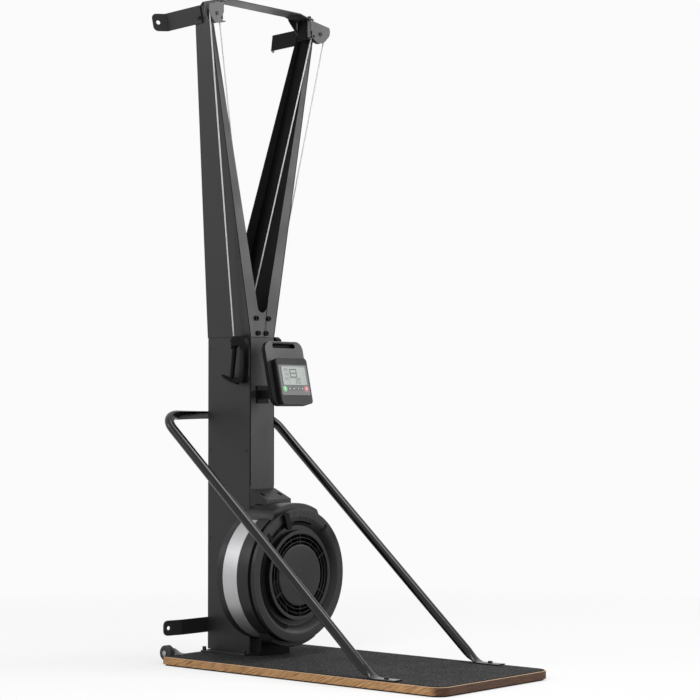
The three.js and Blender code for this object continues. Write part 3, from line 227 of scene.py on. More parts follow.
group, given = node_group(
    "fine_grain", {"Scale": 400.0, "Roundness": 0.5}, {"Height": "Float", "Speckle": "Float"})
fine = noise(group, given["Scale"], Roughness=given["Roundness"])
add(group, "NodeGroupOutput", {"Height": fine, "Speckle": ranged(group, fine, 0.55, 0.72)})
GRAIN = group

group, given = node_group(
    "cloudy_shade", {"Scale": 3.0, "Lowest": 0.85, "Highest": 1.15}, {"Shade": "Float"})
slow = noise(group, given["Scale"], 4)
shade = ranged(group, slow, 0.3, 0.7, given["Lowest"], given["Highest"])
add(group, "NodeGroupOutput", {"Shade": shade})
CLOUDS = group

group, given = node_group(
    "settled_dust", {"Color": (0, 0, 0, 1), "Dust": (0.3, 0.29, 0.27, 1), "Amount": 0.1},
    {"Color": "Color"})
upward = ranged(group, facing(group)["Z"], 0.3, 1.0)
patchy = ranged(group, noise(group, 35, 6), 0.35, 0.75)
cover = times(group, times(group, upward, patchy), given["Amount"])
add(group, "NodeGroupOutput", {"Color": mixed(group, cover, given["Color"], given["Dust"])})
DUST = group
print("shared groups:", GRAIN.name, CLOUDS.name, DUST.name)

# %% [markdown]
# A black finish is a Principled shader with those groups around it. The colour is multiplied by the
# cloudy shade, the grain makes the bump, and the roughness wanders between two values.

# %% Material helpers


def blank_material(name):
    material = bpy.data.materials.new(name)
    material.use_nodes = True
    return material, material.node_tree, material.node_tree.nodes["Principled BSDF"]


def placed(tree, group, **inputs):
    return add(tree, "ShaderNodeGroup", inputs, node_tree=group).outputs


def coated(name, color, rough, grain, depth, dust, shine=0.5, shade=(0.85, 1.15), cloud=3.0,
           metal=0.0, glitter=0.0):
    """Paint or plastic. Rough and shade are ranges, grain is a noise scale, depth is in metres."""
    material, tree, shader = blank_material(name)
    clouds = placed(tree, CLOUDS, Scale=cloud, Lowest=shade[0], Highest=shade[1])
    fine = placed(tree, GRAIN, Scale=grain, Roundness=0.55)
    base = tinted(tree, color, clouds["Shade"])
    if glitter:
        base = mixed(tree, fine["Speckle"], base, (glitter, glitter, glitter, 1))
    feed(tree, shader, {
        "Base Color": placed(tree, DUST, Color=base, Amount=dust)["Color"],
        "Roughness": ranged(tree, noise(tree, 9), 0.3, 0.7, *rough),
        "Normal": bumped(tree, fine["Height"], depth),
        "Metallic": metal,
        "Specular IOR Level": shine,
    })
    return material


# %% Black and dark finishes
POWDER = coated("powder_coat", (0.016, 0.016, 0.0165), (0.36, 0.46), 420, 0.00006, 0.04, 0.4)
COLUMN = coated("powder_coat_column", (0.013, 0.013, 0.0134), (0.38, 0.48), 420, 0.00006, 0.03, 0.34)
GLOSS = coated("gloss_black_tube", (0.004, 0.004, 0.0042), (0.15, 0.2), 420, 0.00002, 0.02, 0.34)
BLACK_OXIDE = coated("black_oxide", (0.012, 0.012, 0.013), (0.3, 0.42), 900, 0.00002, 0.05, metal=0.3)
MOULDED = coated("moulded_black", (0.012, 0.012, 0.0124), (0.34, 0.44), 900, 0.00003, 0.03, 0.27)
# The darkest finish: painted shade on inner faces, slopes, the cap's rim, notches and the display
# slot, and the display's darker sides
BLACK_AND_SHADE = coated("deep_black_and_painted_shade", (0.003, 0.003, 0.0031), (0.5, 0.6), 900, 0.00004, 0.02, 0.08)
# the handles' near-black rubber, also put on the steel saddle and display bracket as painted shade
GRIP_AND_SHADE = coated("grip_rubber_and_painted_shade", (0.0025, 0.0025, 0.0026), (0.36, 0.46), 700, 0.00006, 0.02, 0.08)
CONSOLE = coated("display_plastic", (0.026, 0.026, 0.0265), (0.36, 0.46), 1100, 0.00003, 0.03, 0.42)
TYRE = coated("wheel_rubber", (0.02, 0.02, 0.02), (0.6, 0.75), 300, 0.0001, 0.25)
FOAM = coated("underlay_foam", (0.02, 0.02, 0.021), (0.85, 0.95), 1500, 0.0002, 0.1)
MAT = coated("gritty_mat", (0.009, 0.009, 0.0094), (0.8, 0.95), 230, 0.0016, 0.05, 0.16,
             (0.75, 1.25), 5.0, glitter=0.13)
PLATE = (240, 0.00001, 0.03, 0.5, (0.93, 1.07), 20.0, 0.3)
ZINC = coated("grey_plate", (0.11, 0.11, 0.112), (0.42, 0.5), *PLATE)
PALE_PLATE = coated("pale_plate", (0.34, 0.34, 0.345), (0.4, 0.5), *PLATE)
PANEL_BLACK = coated(
    "display_panel_black", (0.005, 0.005, 0.0051), (0.34, 0.42), 1100, 0.00003, 0.02, 0.2)
# painted shadow: near-black strips and plates for gaps, folds and slot openings
SHADOW_BLACK = coated("painted_shadow_black", (0.001, 0.001, 0.001), (0.6, 0.7), 400, 0.00001, 0.0, 0.02)
print("black finishes:", len(bpy.data.materials))

# %% [markdown]
# ## Steel, wood, cord and display finishes
# The flywheel's band is brushed along its run, so its noise is squeezed along the axle and shows as
# rings. The board shows slanting grain on its long sides. Its short ends carry the same grain in much
# darker colours, as painted shade, and faces turning up at its top chamfer are painted lighter, as a
# painted highlight. The cord's braid reads the cord's own UV map, because it has to follow the cord
# round the pulley.

# %% Brushed band
STEEL, tree, shader = blank_material("brushed_band")
along = axes(tree, object_place(tree))["Y"]
lines = add(tree, "ShaderNodeTexNoise", {"W": along, "Scale": 1400, "Detail": 3},
            noise_dimensions="1D")
clouds = placed(tree, CLOUDS, Scale=14.0, Lowest=0.93, Highest=1.05)
shade = times(tree, clouds["Shade"], ranged(tree, lines, 0.3, 0.7, 0.93, 1.05))
feed(tree, shader, {
    "Base Color": tinted(tree, (0.46, 0.46, 0.47), shade),
    "Roughness": ranged(tree, lines, 0.3, 0.7, 0.42, 0.52),
    "Normal": bumped(tree, lines, 0.00003),
    "Metallic": 0.85,
})
print("finish:", STEEL.name)

# %% Plywood edge


def wood_ramp(tree, fibres, light_place, dark, light):
    """Dark wood where the fibres are dense, light wood from light_place on."""
    ramp = add(tree, "ShaderNodeValToRGB", {"Fac": fibres})
    dark_end, light_end = ramp.color_ramp.elements
    dark_end.position, dark_end.color = 0.36, (*dark, 1)
    light_end.position, light_end.color = light_place, (*light, 1)
    return ramp


WOOD, tree, shader = blank_material("cut_plywood")
slant = add(tree, "ShaderNodeMapping", {
    "Vector": object_place(tree), "Rotation": (radians(24), 0, 0)})
drawn_out = add(tree, "ShaderNodeMapping", {"Vector": slant, "Scale": (9, 9, 190)})
fibres = add(tree, "ShaderNodeTexNoise", {"Vector": drawn_out, "Scale": 2, "Detail": 6})
long_side = wood_ramp(tree, fibres, 0.6, (0.20, 0.088, 0.032), (0.50, 0.29, 0.13))
# the short ends: the same grain in much darker colours, painted shade
shaded_short_side = wood_ramp(tree, fibres, 0.66, (0.036, 0.014, 0.006), (0.118, 0.051, 0.022))
faces = facing(tree)
turned = ranged(tree, maths(tree, "ABSOLUTE", faces["Y"]), 0.1, 0.55)
# painted highlight: faces turning up at the top chamfer get a lighter colour
chamfer_highlight = ranged(tree, faces["Z"], 0.25, 0.6, 0, 0.8)
flank = mixed(tree, turned, long_side, shaded_short_side)
feed(tree, shader, {
    "Base Color": mixed(tree, chamfer_highlight, flank, (0.6, 0.44, 0.3, 1)),
    "Roughness": ranged(tree, fibres, 0.3, 0.7, 0.5, 0.68),
    "Normal": bumped(tree, fibres, 0.00015),
    "Specular IOR Level": 0.3,
})
print("finish:", WOOD.name)

# %% Braided cord
STRANDS, BRAID_PITCH = 6, 0.0042

CORD, tree, shader = blank_material("braided_cord")
uv = axes(tree, add(tree, "ShaderNodeUVMap", uv_map="UVMap"))
strands = []
for turn in (1, -1):
    around = times(tree, uv["X"], 2 * pi * STRANDS * turn)
    wave = maths(tree, "MULTIPLY_ADD", uv["Y"], 2 * pi / BRAID_PITCH, around)
    strands.append(maths(tree, "SINE", wave))
weave = maths(tree, "MAXIMUM", *strands)
fluff = placed(tree, GRAIN, Scale=2500.0, Roundness=0.6)["Height"]
fluff = ranged(tree, fluff, 0.3, 0.7, 0.9, 1.08)
shade = times(tree, ranged(tree, weave, -1, 1, 0.8, 1.0), fluff)
feed(tree, shader, {
    "Base Color": tinted(tree, (0.93, 0.93, 0.92), shade),
    "Roughness": ranged(tree, weave, -1, 1, 0.9, 0.6),
    "Normal": bumped(tree, weave, 0.0004),
})
print("finish:", CORD.name)

# %% Display finishes
SMOOTH = (1500, 0.00001, 0.02, 0.5)
LABEL = coated("display_label", (0.12, 0.123, 0.12), (0.4, 0.5), *SMOOTH, (0.95, 1.05))
LCD = coated("display_glass", (0.27, 0.31, 0.28), (0.12, 0.2), 1800, 5e-6, 0.02, 0.5, (0.96, 1.04))
INK = coated("display_ink", (0.04, 0.055, 0.05), (0.3, 0.4), 1800, 5e-6, 0.0, 0.5, (0.9, 1.1))
GREEN = coated("green_key", (0.25, 0.72, 0.33), (0.35, 0.45), *SMOOTH, (0.95, 1.05))
WHITE = coated("white_mark", (0.86, 0.86, 0.85), (0.35, 0.45), *SMOOTH, (0.97, 1.03))
RED = coated("red_key", (0.82, 0.2, 0.24), (0.35, 0.45), *SMOOTH, (0.95, 1.05))
SCALE_INK = coated("scale_ink", (0.012, 0.012, 0.012), (0.5, 0.6), *SMOOTH)
print("finishes:", len(bpy.data.materials))

# %% [markdown]
# ## Three ways to make a piece
# Sheet metal keeps its CAD shape, but no real edge is razor sharp. A copy of the CAD solid is merged,
# its flat triangles are dissolved, and a bevel rounds the edges. Turned pieces are spun again from
# their profile in finer steps, and tubes and cords are swept. All end as plain meshes at the origin.

# %% Mesh helpers


def settled(holder):
    """The plain mesh that the holder's modifiers make. The holder is removed."""
    graph = bpy.context.evaluated_depsgraph_get()
    result = bpy.data.meshes.new_from_object(holder.evaluated_get(graph))
    bpy.data.objects.remove(holder)
    return result


def plain_mesh(mesh, *modifiers):
    """The mesh with these modifiers applied."""
    holder = in_scene("holder", mesh)
    for kind, settings in modifiers:
        modifier = holder.modifiers.new(kind.lower(), kind)
        for label, value in settings.items():
            setattr(modifier, label, value)
    return settled(holder)


def cut(mesh, cutter, *before):
    """The mesh with other modifiers applied, and then without what the cutter fills."""
    block = in_scene("cutter", cutter)
    made = plain_mesh(mesh, *before, (
        "BOOLEAN", {"object": block, "operation": "DIFFERENCE", "solver": "EXACT"}))
    bpy.data.objects.remove(block)
    return made


def bevel(width, segments=2, angle=32):
    return ("BEVEL", {"width": width * MM, "segments": segments, "limit_method": "ANGLE",
                      "angle_limit": radians(angle), "use_clamp_overlap": True})


def from_bmesh(bm, recalculate=True):
    if recalculate:
        bmesh.ops.recalc_face_normals(bm, faces=bm.faces)
    mesh = bpy.data.meshes.new("piece")
    bm.to_mesh(mesh)
    bm.free()
    return mesh


def merged_copy(node):
    bm = bmesh.new()
    bm.from_mesh(NODES[node].data)
    bmesh.ops.remove_doubles(bm, verts=bm.verts, dist=0.00001)
    bmesh.ops.dissolve_limit(bm, angle_limit=radians(1), verts=bm.verts, edges=bm.edges)
    return from_bmesh(bm, False)


def moved(mesh, matrix):
    mesh.transform(matrix)
    return mesh


def joined(*meshes):
    bm = bmesh.new()
    for mesh in meshes:
        bm.from_mesh(mesh)
    return from_bmesh(bm, False)


def dress(name, mesh, material, node=None, slot=None, body="frame", smooth=40, blended=False):
    """Makes the mesh a finished piece. One that stands for a CAD node is attached to its body; its
    slot is looked up and not used.
    A blended one is left without a body."""
    if node:
        slot, body = SLOTS[node], BODIES[node]
    mesh.materials.clear()
    mesh.materials.append(material)
    for polygon in mesh.polygons:
        polygon.material_index = 0
        polygon.use_smooth = True
    mesh.set_sharp_from_angle(angle=radians(smooth))
    if smooth < 180:
        mesh = plain_mesh(mesh, ("WEIGHTED_NORMAL", {"keep_sharp": True, "weight": 100}))
    mesh.name = name
    obj = in_scene(name, mesh)
    if not blended:
        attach(obj, body)
    if node:
        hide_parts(node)
    print(f"{name}: {len(mesh.polygons)} faces")
    return obj


def soften(name, node, width, material, *rounding):
    """Dresses a copy of a CAD node with its edges rounded."""
    return dress(name, plain_mesh(merged_copy(node), bevel(width, *rounding)), material, node)


def repainted(obj, material, belongs):
    """Gives the faces for which belongs(centre, normal) is true a second material."""
    obj.data.materials.append(material)
    for polygon in obj.data.polygons:
        if belongs(polygon.center, polygon.normal):
            polygon.material_index = 1


print("mesh helpers ready")

# %% [markdown]
# Sizes in these functions are millimetres, and angles are degrees.

# %% Turned, flat and swept shapes
FLY_Z = 304
AXLE = (0, 0, FLY_Z)


def shifted(mesh, centre=AXLE):
    return moved(mesh, Matrix.Translation(Vector(centre) * MM))


def spun(profile, width=0.8, segments=2, steps=144, centre=AXLE, axis="Y"):
    """Turns a closed profile of (radius, place along the axis), and rounds its edges."""
    bm = bmesh.new()
    rings = []
    for step in range(steps):
        angle = 2 * pi * step / steps
        ring = []
        for radius, along in profile:
            a, b = radius * cos(angle), radius * sin(angle)
            point = Vector((along, a, b) if axis == "X" else (a, along, b))
            ring.append(bm.verts.new((point + Vector(centre)) * MM))
        rings.append(ring)
    for here, there in zip(rings, rings[1:] + rings[:1]):
        for i in range(len(profile)):
            j = (i + 1) % len(profile)
            if profile[i][0] > 0 or profile[j][0] > 0:
                bm.faces.new((here[i], here[j], there[j], there[i]))
    bmesh.ops.remove_doubles(bm, verts=bm.verts, dist=0.000001)
    return plain_mesh(from_bmesh(bm), bevel(width, segments))


def slab(outline, low, high, axis="Y", width=0.0, segments=2):
    """A plate with this outline, from low to high along an axis."""
    bm = bmesh.new()
    near, far = ([bm.verts.new(Vector((a, b, t) if axis == "Z" else (a, t, b)) * MM)
                  for a, b in outline] for t in (low, high))
    bm.faces.new(near)
    bm.faces.new(far[::-1])
    for i in range(len(outline)):
        j = (i + 1) % len(outline)
        bm.faces.new((near[j], near[i], far[i], far[j]))
    mesh = from_bmesh(bm)
    return plain_mesh(mesh, bevel(width, segments)) if width else mesh


def box_outline(x0, z0, x1, z1):
    return [(x0, z0), (x1, z0), (x1, z1), (x0, z1)]


def rounded_outline(width, height, radius, steps, far_radius=None, centre=(0, 0)):
    """A rectangle with round corners. Its far side may have corners of their own."""
    points = []
    for corner, (x, y) in enumerate(((1, -1), (1, 1), (-1, 1), (-1, -1))):
        turn = far_radius if far_radius and y > 0 else radius
        for step in range(steps + 1):
            angle = pi / 2 * (corner - 1 + step / steps)
            points.append((x * (width / 2 - turn) + turn * cos(angle) + centre[0],
                           y * (height / 2 - turn) + turn * sin(angle) + centre[1]))
    return points


def arc_outline(inner, outer, start, end, steps):
    """A piece of a ring between two angles. Its outer radius is a function of the angle."""
    angles = [start + (end - start) * i / steps for i in range(steps + 1)]
    rim = [(outer(angle), angle) for angle in angles] + [(inner, angle) for angle in reversed(angles)]
    return [(radius * cos(radians(angle)), radius * sin(radians(angle)))
            for radius, angle in rim]


def tube(rings, sides, mapped=False):
    """A closed tube through rings, each a centre and its two half axes.
    A mapped tube has a UV map that runs round it, and along it in metres."""
    bm = bmesh.new()
    uv = bm.loops.layers.uv.new("UVMap") if mapped else None
    turns = [2 * pi * k / sides for k in range(sides)]
    rows = [[bm.verts.new((centre + right * cos(t) + up * sin(t)) * MM) for t in turns]
            for centre, right, up in rings]
    near = 0.0
    for i in range(len(rows) - 1):
        far = near + (rings[i + 1][0] - rings[i][0]).length
        for k in range(sides):
            j = (k + 1) % sides
            face = bm.faces.new((rows[i][k], rows[i][j], rows[i + 1][j], rows[i + 1][k]))
            if mapped:
                for loop, u, v in zip(face.loops, (k, k + 1, k + 1, k), (near, near, far, far)):
                    loop[uv].uv = (u / sides, v * MM)
        near = far
    bm.faces.new(rows[0][::-1])
    bm.faces.new(rows[-1])
    return from_bmesh(bm)


print("shape helpers ready")

# %% [markdown]
# ## Screws, ticks and blades by Geometry Nodes
# One tree makes all screws: it takes lone points, each with the direction that its screw faces, and
# puts a head with a sunk socket on every point. A second tree copies any shape round an axle, for
# fan blades, scale marks and grille spokes.

# %% Geometry Nodes helpers


def geometry_tree(name, **labels):
    """A tree that takes a geometry, a material and inputs of other kinds with these labels."""
    tree = bpy.data.node_groups.new(name, "GeometryNodeTree")
    for kind, names in {"Geometry": ["Geometry"], "Material": ["Material"], **labels}.items():
        for label in names:
            tree.interface.new_socket(name=label, in_out="INPUT", socket_type="NodeSocket" + kind)
    tree.interface.new_socket(name="Geometry", in_out="OUTPUT", socket_type="NodeSocketGeometry")
    return tree, tree.nodes.new("NodeGroupInput").outputs


def copied(tree, count, shape, **placing):
    """So many copies of a shape at the origin, each placed by its own rotation or scale."""
    points = add(tree, "GeometryNodePoints", {"Count": count})
    inputs = {"Points": points, "Instance": shape, **placing}
    return add(tree, "GeometryNodeInstanceOnPoints", inputs)


def closing(tree, source, material):
    """Every tree ends by making its copies real and giving them their material."""
    real = add(tree, "GeometryNodeRealizeInstances", {"Geometry": source})
    paint = add(tree, "GeometryNodeSetMaterial", {"Geometry": real, "Material": material})
    add(tree, "NodeGroupOutput", {"Geometry": paint})
    print("tree:", tree.name)
    return tree


def grown(tree, mesh, values):
    """Runs a tree on a mesh with these named values, and returns the plain mesh that it makes."""
    holder = in_scene("holder", mesh)
    modifier = holder.modifiers.new("grow", "NODES")
    modifier.node_group = tree
    for item in tree.interface.items_tree:
        if item.in_out == "INPUT" and item.name in values:
            modifier[item.identifier] = values[item.name]
    return settled(holder)


# %% Screw heads
SOCKET_DEPTH = 0.6

tree, given = geometry_tree(
    "screw_heads", Float=("Head Radius", "Head Height", "Socket Share"), Int=("Sides",))
head = add(tree, "GeometryNodeMeshCylinder", {
    "Vertices": given["Sides"], "Radius": given["Head Radius"], "Depth": given["Head Height"]})
rim = add(tree, "GeometryNodeExtrudeMesh", {
    "Mesh": head, "Selection": head.outputs["Top"], "Offset Scale": 0, "Individual": False})
shrunk = add(tree, "GeometryNodeScaleElements", {
    "Geometry": rim, "Selection": rim.outputs["Top"], "Scale": given["Socket Share"]})
sunk = add(tree, "GeometryNodeExtrudeMesh", {
    "Mesh": shrunk, "Selection": rim.outputs["Top"], "Individual": False,
    "Offset Scale": times(tree, given["Head Height"], -SOCKET_DEPTH)})
direction = add(tree, "GeometryNodeInputNamedAttribute", {"Name": "facing"},
                data_type="FLOAT_VECTOR").outputs["Attribute"]
heads = add(tree, "GeometryNodeInstanceOnPoints", {
    "Points": add(tree, "GeometryNodeMeshToPoints", {"Mesh": given["Geometry"]}),
    "Instance": sunk,
    "Rotation": add(tree, "FunctionNodeAlignRotationToVector", {"Vector": direction}, axis="Z")})
SCREWS = closing(tree, heads, given["Material"])


def screws(name, places, radius, height, material=BLACK_OXIDE, sides=6, socket=0.5, edge=0.5):
    """Screw heads at (point, direction) places, standing on the surface."""
    mesh = bpy.data.meshes.new(name)
    ways = [Vector(direction).normalized() for _, direction in places]
    points = [(Vector(point) + way * height / 2) * MM for (point, _), way in zip(places, ways)]
    mesh.from_pydata(points, [], [])
    attribute = mesh.attributes.new("facing", "FLOAT_VECTOR", "POINT")
    for i, way in enumerate(ways):
        attribute.data[i].vector = way
    made = grown(SCREWS, mesh, {
        "Head Radius": radius * MM, "Head Height": height * MM, "Sides": sides,
        "Socket Share": socket, "Material": material})
    dress(name, plain_mesh(made, bevel(edge, 2, 50)), material, slot="dark_steel")


# %% Copies round an axle
tree, given = geometry_tree("copies_round_an_axle", Int=("Count",), Float=("Start", "Step"))
index = add(tree, "GeometryNodeInputIndex")
angle = maths(tree, "MULTIPLY_ADD", index, given["Step"], given["Start"])
turn = add(tree, "ShaderNodeCombineXYZ", {"Y": angle})
put = copied(tree, given["Count"], given["Geometry"], Rotation=turn)
COPIES = closing(tree, put, given["Material"])


def round_axle(mesh, count, start, step, material, centre=AXLE):
    """Copies of a mesh turned about +Y, then moved to a centre."""
    made = grown(COPIES, mesh, {
        "Count": count, "Start": radians(start), "Step": radians(step),
        "Material": material})
    return shifted(made, centre)


# %% [markdown]
# ## Cords
# Each cord runs from its handle up to the outside of its pulley, over it, down between the arms and
# straight down inside the column to its drum. The part over the pulley turns with the swivel, and the
# part under it shortens as the handle rises, so they are separate pieces, left without a body here.

# %% Route of the cords
PIN = (219, 387)
TURN = radians(10)
REACH, PULLEY_Z, CORD_LINE = 41, 2171, 26.5
HANDLE_INLET = (82, 460, 1104)
CORD_RADIUS = 2.25
COLUMN_ENTRY = (20.6, 1190)
ENTRY_BEND = 40
DRUM_Y = {"left": 446, "right": 482}


def pulley(side):
    outward = Vector((side * cos(TURN), -sin(TURN), 0))
    return outward, Vector((side * PIN[0], PIN[1], PULLEY_Z)) + REACH * outward


def rim_point(side, angle):
    outward, centre = pulley(side)
    return centre + CORD_LINE * (outward * cos(angle) + Vector((0, 0, sin(angle))))


def leave_angle(side, target, outer):
    """Where on the wheel a straight cord to the target leaves it."""
    outward, centre = pulley(side)
    offset = Vector(target) - centre
    across, up = offset.dot(outward), offset.z
    swing = acos(CORD_LINE / hypot(across, up))
    bearing = atan2(up, across) % (2 * pi)
    return bearing - 2 * pi + swing if outer else bearing - swing


def cord_mesh(points):
    """A round cord through these points. Its section is carried along without a twist."""
    rings = []
    normal = Vector((0, 1, 0))
    for i, point in enumerate(points):
        tangent = (points[min(i + 1, len(points) - 1)] - points[max(i - 1, 0)]).normalized()
        normal = (normal - tangent * normal.dot(tangent)).normalized()
        rings.append((point, CORD_RADIUS * normal, CORD_RADIUS * tangent.cross(normal)))
    return tube(rings, 16, mapped=True)


def spread(start, end, steps):
    return [start.lerp(end, i / steps) for i in range(steps + 1)]


print("pulleys at", [tuple(round(v, 1) for v in pulley(side)[1]) for _, side in SIDES])

# %% The four cord pieces
for name, side in SIDES:
    inlet = Vector((side * HANDLE_INLET[0], *HANDLE_INLET[1:]))
    entry = Vector((side * COLUMN_ENTRY[0], DRUM_Y[name], COLUMN_ENTRY[1]))
    outer = leave_angle(side, inlet, True)
    inner = leave_angle(side, entry, False)
    tangent_point = rim_point(side, outer)
    top = tangent_point.lerp(inlet, 0.0004)
    low = inlet.lerp(tangent_point, 0.002)
    handle_cord = dress(f"{name}_cord_to_handle", cord_mesh(spread(top, low, 60)), CORD,
                        f"{name}_handle_cord", blended=True)
    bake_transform(handle_cord)
    over = [rim_point(side, outer + (inner - outer) * i / 28) for i in range(29)]
    leave = over[-1]
    slope = (entry - leave).normalized()
    a, b, c = entry - slope * ENTRY_BEND, entry, entry + Vector((0, 0, -ENTRY_BEND))
    down = spread(leave, a, 60)[1:]
    bend = [a.lerp(b, t).lerp(b.lerp(c, t), t) for t in (i / 12 for i in range(1, 13))]
    foot = spread(bend[-1], Vector((entry.x, entry.y, FLY_Z)), 30)[1:]
    drive_cord = dress(f"{name}_cord_to_drum", cord_mesh(over + down + bend + foot), CORD,
                       f"{name}_drive_cord", blended=True)
    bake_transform(drive_cord)

# %% [markdown]
# ## Board and mat
# The base is a plywood board with its cut edge left light, standing on a thin foam underlay. A black
# gritty mat covers its top. All three are slabs with wide corners in front and tight ones behind.

# %% Board, underlay and mat
board = slab(rounded_outline(570, 1190, 50, 24, 10), 5, 30, "Z", 1.6, 3)
dress("plywood_board", board, WOOD, "base_board")
underlay = slab(rounded_outline(554, 1174, 42, 24, 2), 0, 5, "Z")
dress("foam_underlay", underlay, FOAM, "base_underlay")
mat = slab(rounded_outline(560, 1180, 45, 24, 5), 30, 32, "Z", 0.7)
dress("gritty_mat", mat, MAT, "base_mat")

# %% [markdown]
# ## Column, arms and brackets
# These are sheet steel, so each one is a softened copy of its CAD solid. The bevel is narrower than
# half the sheet, or it would eat the thin edges. A star stands for left and right. The arms, swivel
# brackets and upper wall brackets have their inner faces painted near black, as painted shade. The
# housing saddle and the display bracket take the grip's near-black, as painted shade under the
# housing and behind the display.

# %% Sheet steel pieces
SHEETS = (
    (1.6, COLUMN, "column_frame"), (1.2, POWDER, "column_foot_plate"),
    (0.5, COLUMN, "*_side_cover"), (1.1, POWDER, "*_arm"), (1.2, POWDER, "top_bridge"),
    (0.8, BLACK_OXIDE, "*_swivel_bracket"), (1.4, MOULDED, "*_upper_wall_bracket"),
    (1.4, POWDER, "lower_wall_bracket"), (0.9, MOULDED, "housing_mount_bracket"),
    # housing saddle and display bracket: grip black as painted shade
    (1.2, GRIP_AND_SHADE, "housing_saddle"), (0.5, BLACK_OXIDE, "*_handle_hook"),
    (1.2, GRIP_AND_SHADE, "console_bracket"), (0.9, PALE_PLATE, "*_wheel_bracket"),
)
PAINTED_SHADE_INSIDE = ("*_arm", "*_swivel_bracket", "*_upper_wall_bracket")
for width, material, pattern in SHEETS:
    for name, side in SIDES if "*" in pattern else SIDES[:1]:
        node = pattern.replace("*", name)
        sheet = soften(f"{node}_sheet", node, width, material)
        if pattern in PAINTED_SHADE_INSIDE:
            # painted shade: the inner faces are painted near black
            repainted(sheet, BLACK_AND_SHADE, lambda centre, normal: normal.x * side < -0.5)

# %% [markdown]
# Where sheets lap or fold, a thin black strip let into the front face is painted shadow: in the
# lap's gap and along the fold. The two slots in the housing's mount bracket are black plates on its
# ramp, painted shade for the openings.

# %% Seams, fold lines and slots
FRONT_FACE = 404
SEAM = [(27.3, 1231), (28.7, 1231), (9.7, 1104), (8.3, 1104)]
FOLD = [(55.7, 1104), (58.7, 1104), (252.9, 2130), (250.5, 2130)]
COLUMN_EDGE = box_outline(56.1, 600, 58.7, 1101)


# a near-black strip that paints the shadow in a lap's gap and along a fold
def shadow_line(name, outline, behind=0.3, proud=0.1):
    strip = slab(outline, FRONT_FACE - behind, FRONT_FACE + proud)
    dress(name, strip, SHADOW_BLACK, slot="black_steel")


shadow_line("arm_lap_seam_shadow", SEAM, 0.5, 0.2)
for name, side in SIDES:
    shadow_line(f"{name}_arm_fold_shadow", [(side * x, z) for x, z in FOLD])
    shadow_line(f"{name}_column_edge_shadow", [(side * x, z) for x, z in COLUMN_EDGE])
# black plates on the ramp paint the shade of the two slot openings
RAMP = Matrix.Rotation(radians(-65.9), 4, "X")
ramp_slot_shades = [shifted(moved(slab(rounded_outline(12, 21, 5.9, 8), -0.3, 0.2), RAMP), (x, 362, 570.7))
              for x in (-42, 42)]
dress("mount_bracket_slot_shades", joined(*ramp_slot_shades), SHADOW_BLACK, slot="black_steel")

# %% [markdown]
# ## Brace
# The brace is one steel tube, bent twice behind the column, with both ends pressed flat to take a
# bolt. A sweep with a round section makes the tube, and the section is squashed towards the feet.

# %% Brace tube
BRACE_LOW, BRACE_TOP = Vector((-264, -270, 67)), Vector((-264, 619.3, 838))
BRACE_RADIUS, BRACE_BEND = 16, 70
# Stations of the foot: place, share of the tube's lean, half width, half height.
FOOT = [
    (-262, -413, 34.8, 0, 20, 2.5), (-262, -411, 34.8, 0, 21, 2.5), (-262, -325, 34.8, 0, 21, 2.5),
    (-262, -312, 38.5, 0.3, 20, 5.5), (-262, -300, 45, 0.6, 18.5, 9),
    (-263, -285, 55, 0.9, 16.8, 13.5), (-264, -270, 67, 1, 16, 16),
]

# The left half, from its foot to the middle of the bend behind the column.
across = Vector((1, 0, 0))
rise = (BRACE_TOP - BRACE_LOW).normalized()
normal = across.cross(rise)
rings = [(Vector(place), across * wide, Vector((0, 0, 1)).lerp(normal, share).normalized() * high)
         for *place, share, wide, high in FOOT]
start = BRACE_TOP - rise * BRACE_BEND
rings += [(BRACE_LOW.lerp(start, i / 8), across * BRACE_RADIUS, normal * BRACE_RADIUS)
          for i in range(1, 8)]
for i in range(19):
    c, s = cos(pi / 36 * i), sin(pi / 36 * i)
    point = start + BRACE_BEND * (across * (1 - c) + rise * s)
    rings.append((point, BRACE_RADIUS * (across * c - rise * s), normal * BRACE_RADIUS))
other = [(Vector((-p.x, p.y, p.z)), Vector((a.x, -a.y, -a.z)), n) for p, a, n in reversed(rings)]
dress("bent_brace", tube(rings + other, 40), GLOSS, "brace_tube")

# %% [markdown]
# ## Flywheel housing
# From the back: a black shell, a wide band of brushed steel, a black ring, a dark gap, and the front
# cover. Its broad ring is flat outside and slopes back into a recess, where the grille cap stands.
# Each is one turned profile. Two bulges swell out of the black ring, and the side of the slope that
# turns away from the light is painted darker.

# %% Turned rings of the housing
rear = [(22.6, 403.7), (221, 403.7), (221, 377), (218, 377), (218, 400.7), (22.6, 400.7)]
dress("rear_shell", spun(rear, 1.4, 3), MOULDED, "flywheel_rear_shell")
band = [(219.5, 376.7), (219.5, 312), (213.5, 312), (213.5, 314), (217.5, 314), (217.5, 376.7)]
dress("steel_band", spun(band, 0.6), STEEL, "flywheel_band")


def bulge(start, end, low, high, foot=221, height=19, ease=9):
    """It swells from the ring within a few degrees of one end, and sinks back at the other."""
    def radius(angle):
        share = min(1.0, (min(angle - start, end - angle) + 1.2) / ease)
        return foot + height * share * share * (3 - 2 * share)

    return shifted(slab(arc_outline(216, radius, start, end, 72), low, high, "Y", 4, 4))


middle = [(216, 311.7), (216, 307), (224, 307), (224, 258), (208, 258), (208, 261), (213, 261),
          (213, 311.7)]
middle_ring = joined(
    spun(middle, 1.4, 3), bulge(57, 122, 248, 376), bulge(236, 304, 258, 307))
dress("middle_ring", middle_ring, MOULDED, "flywheel_mid_ring")

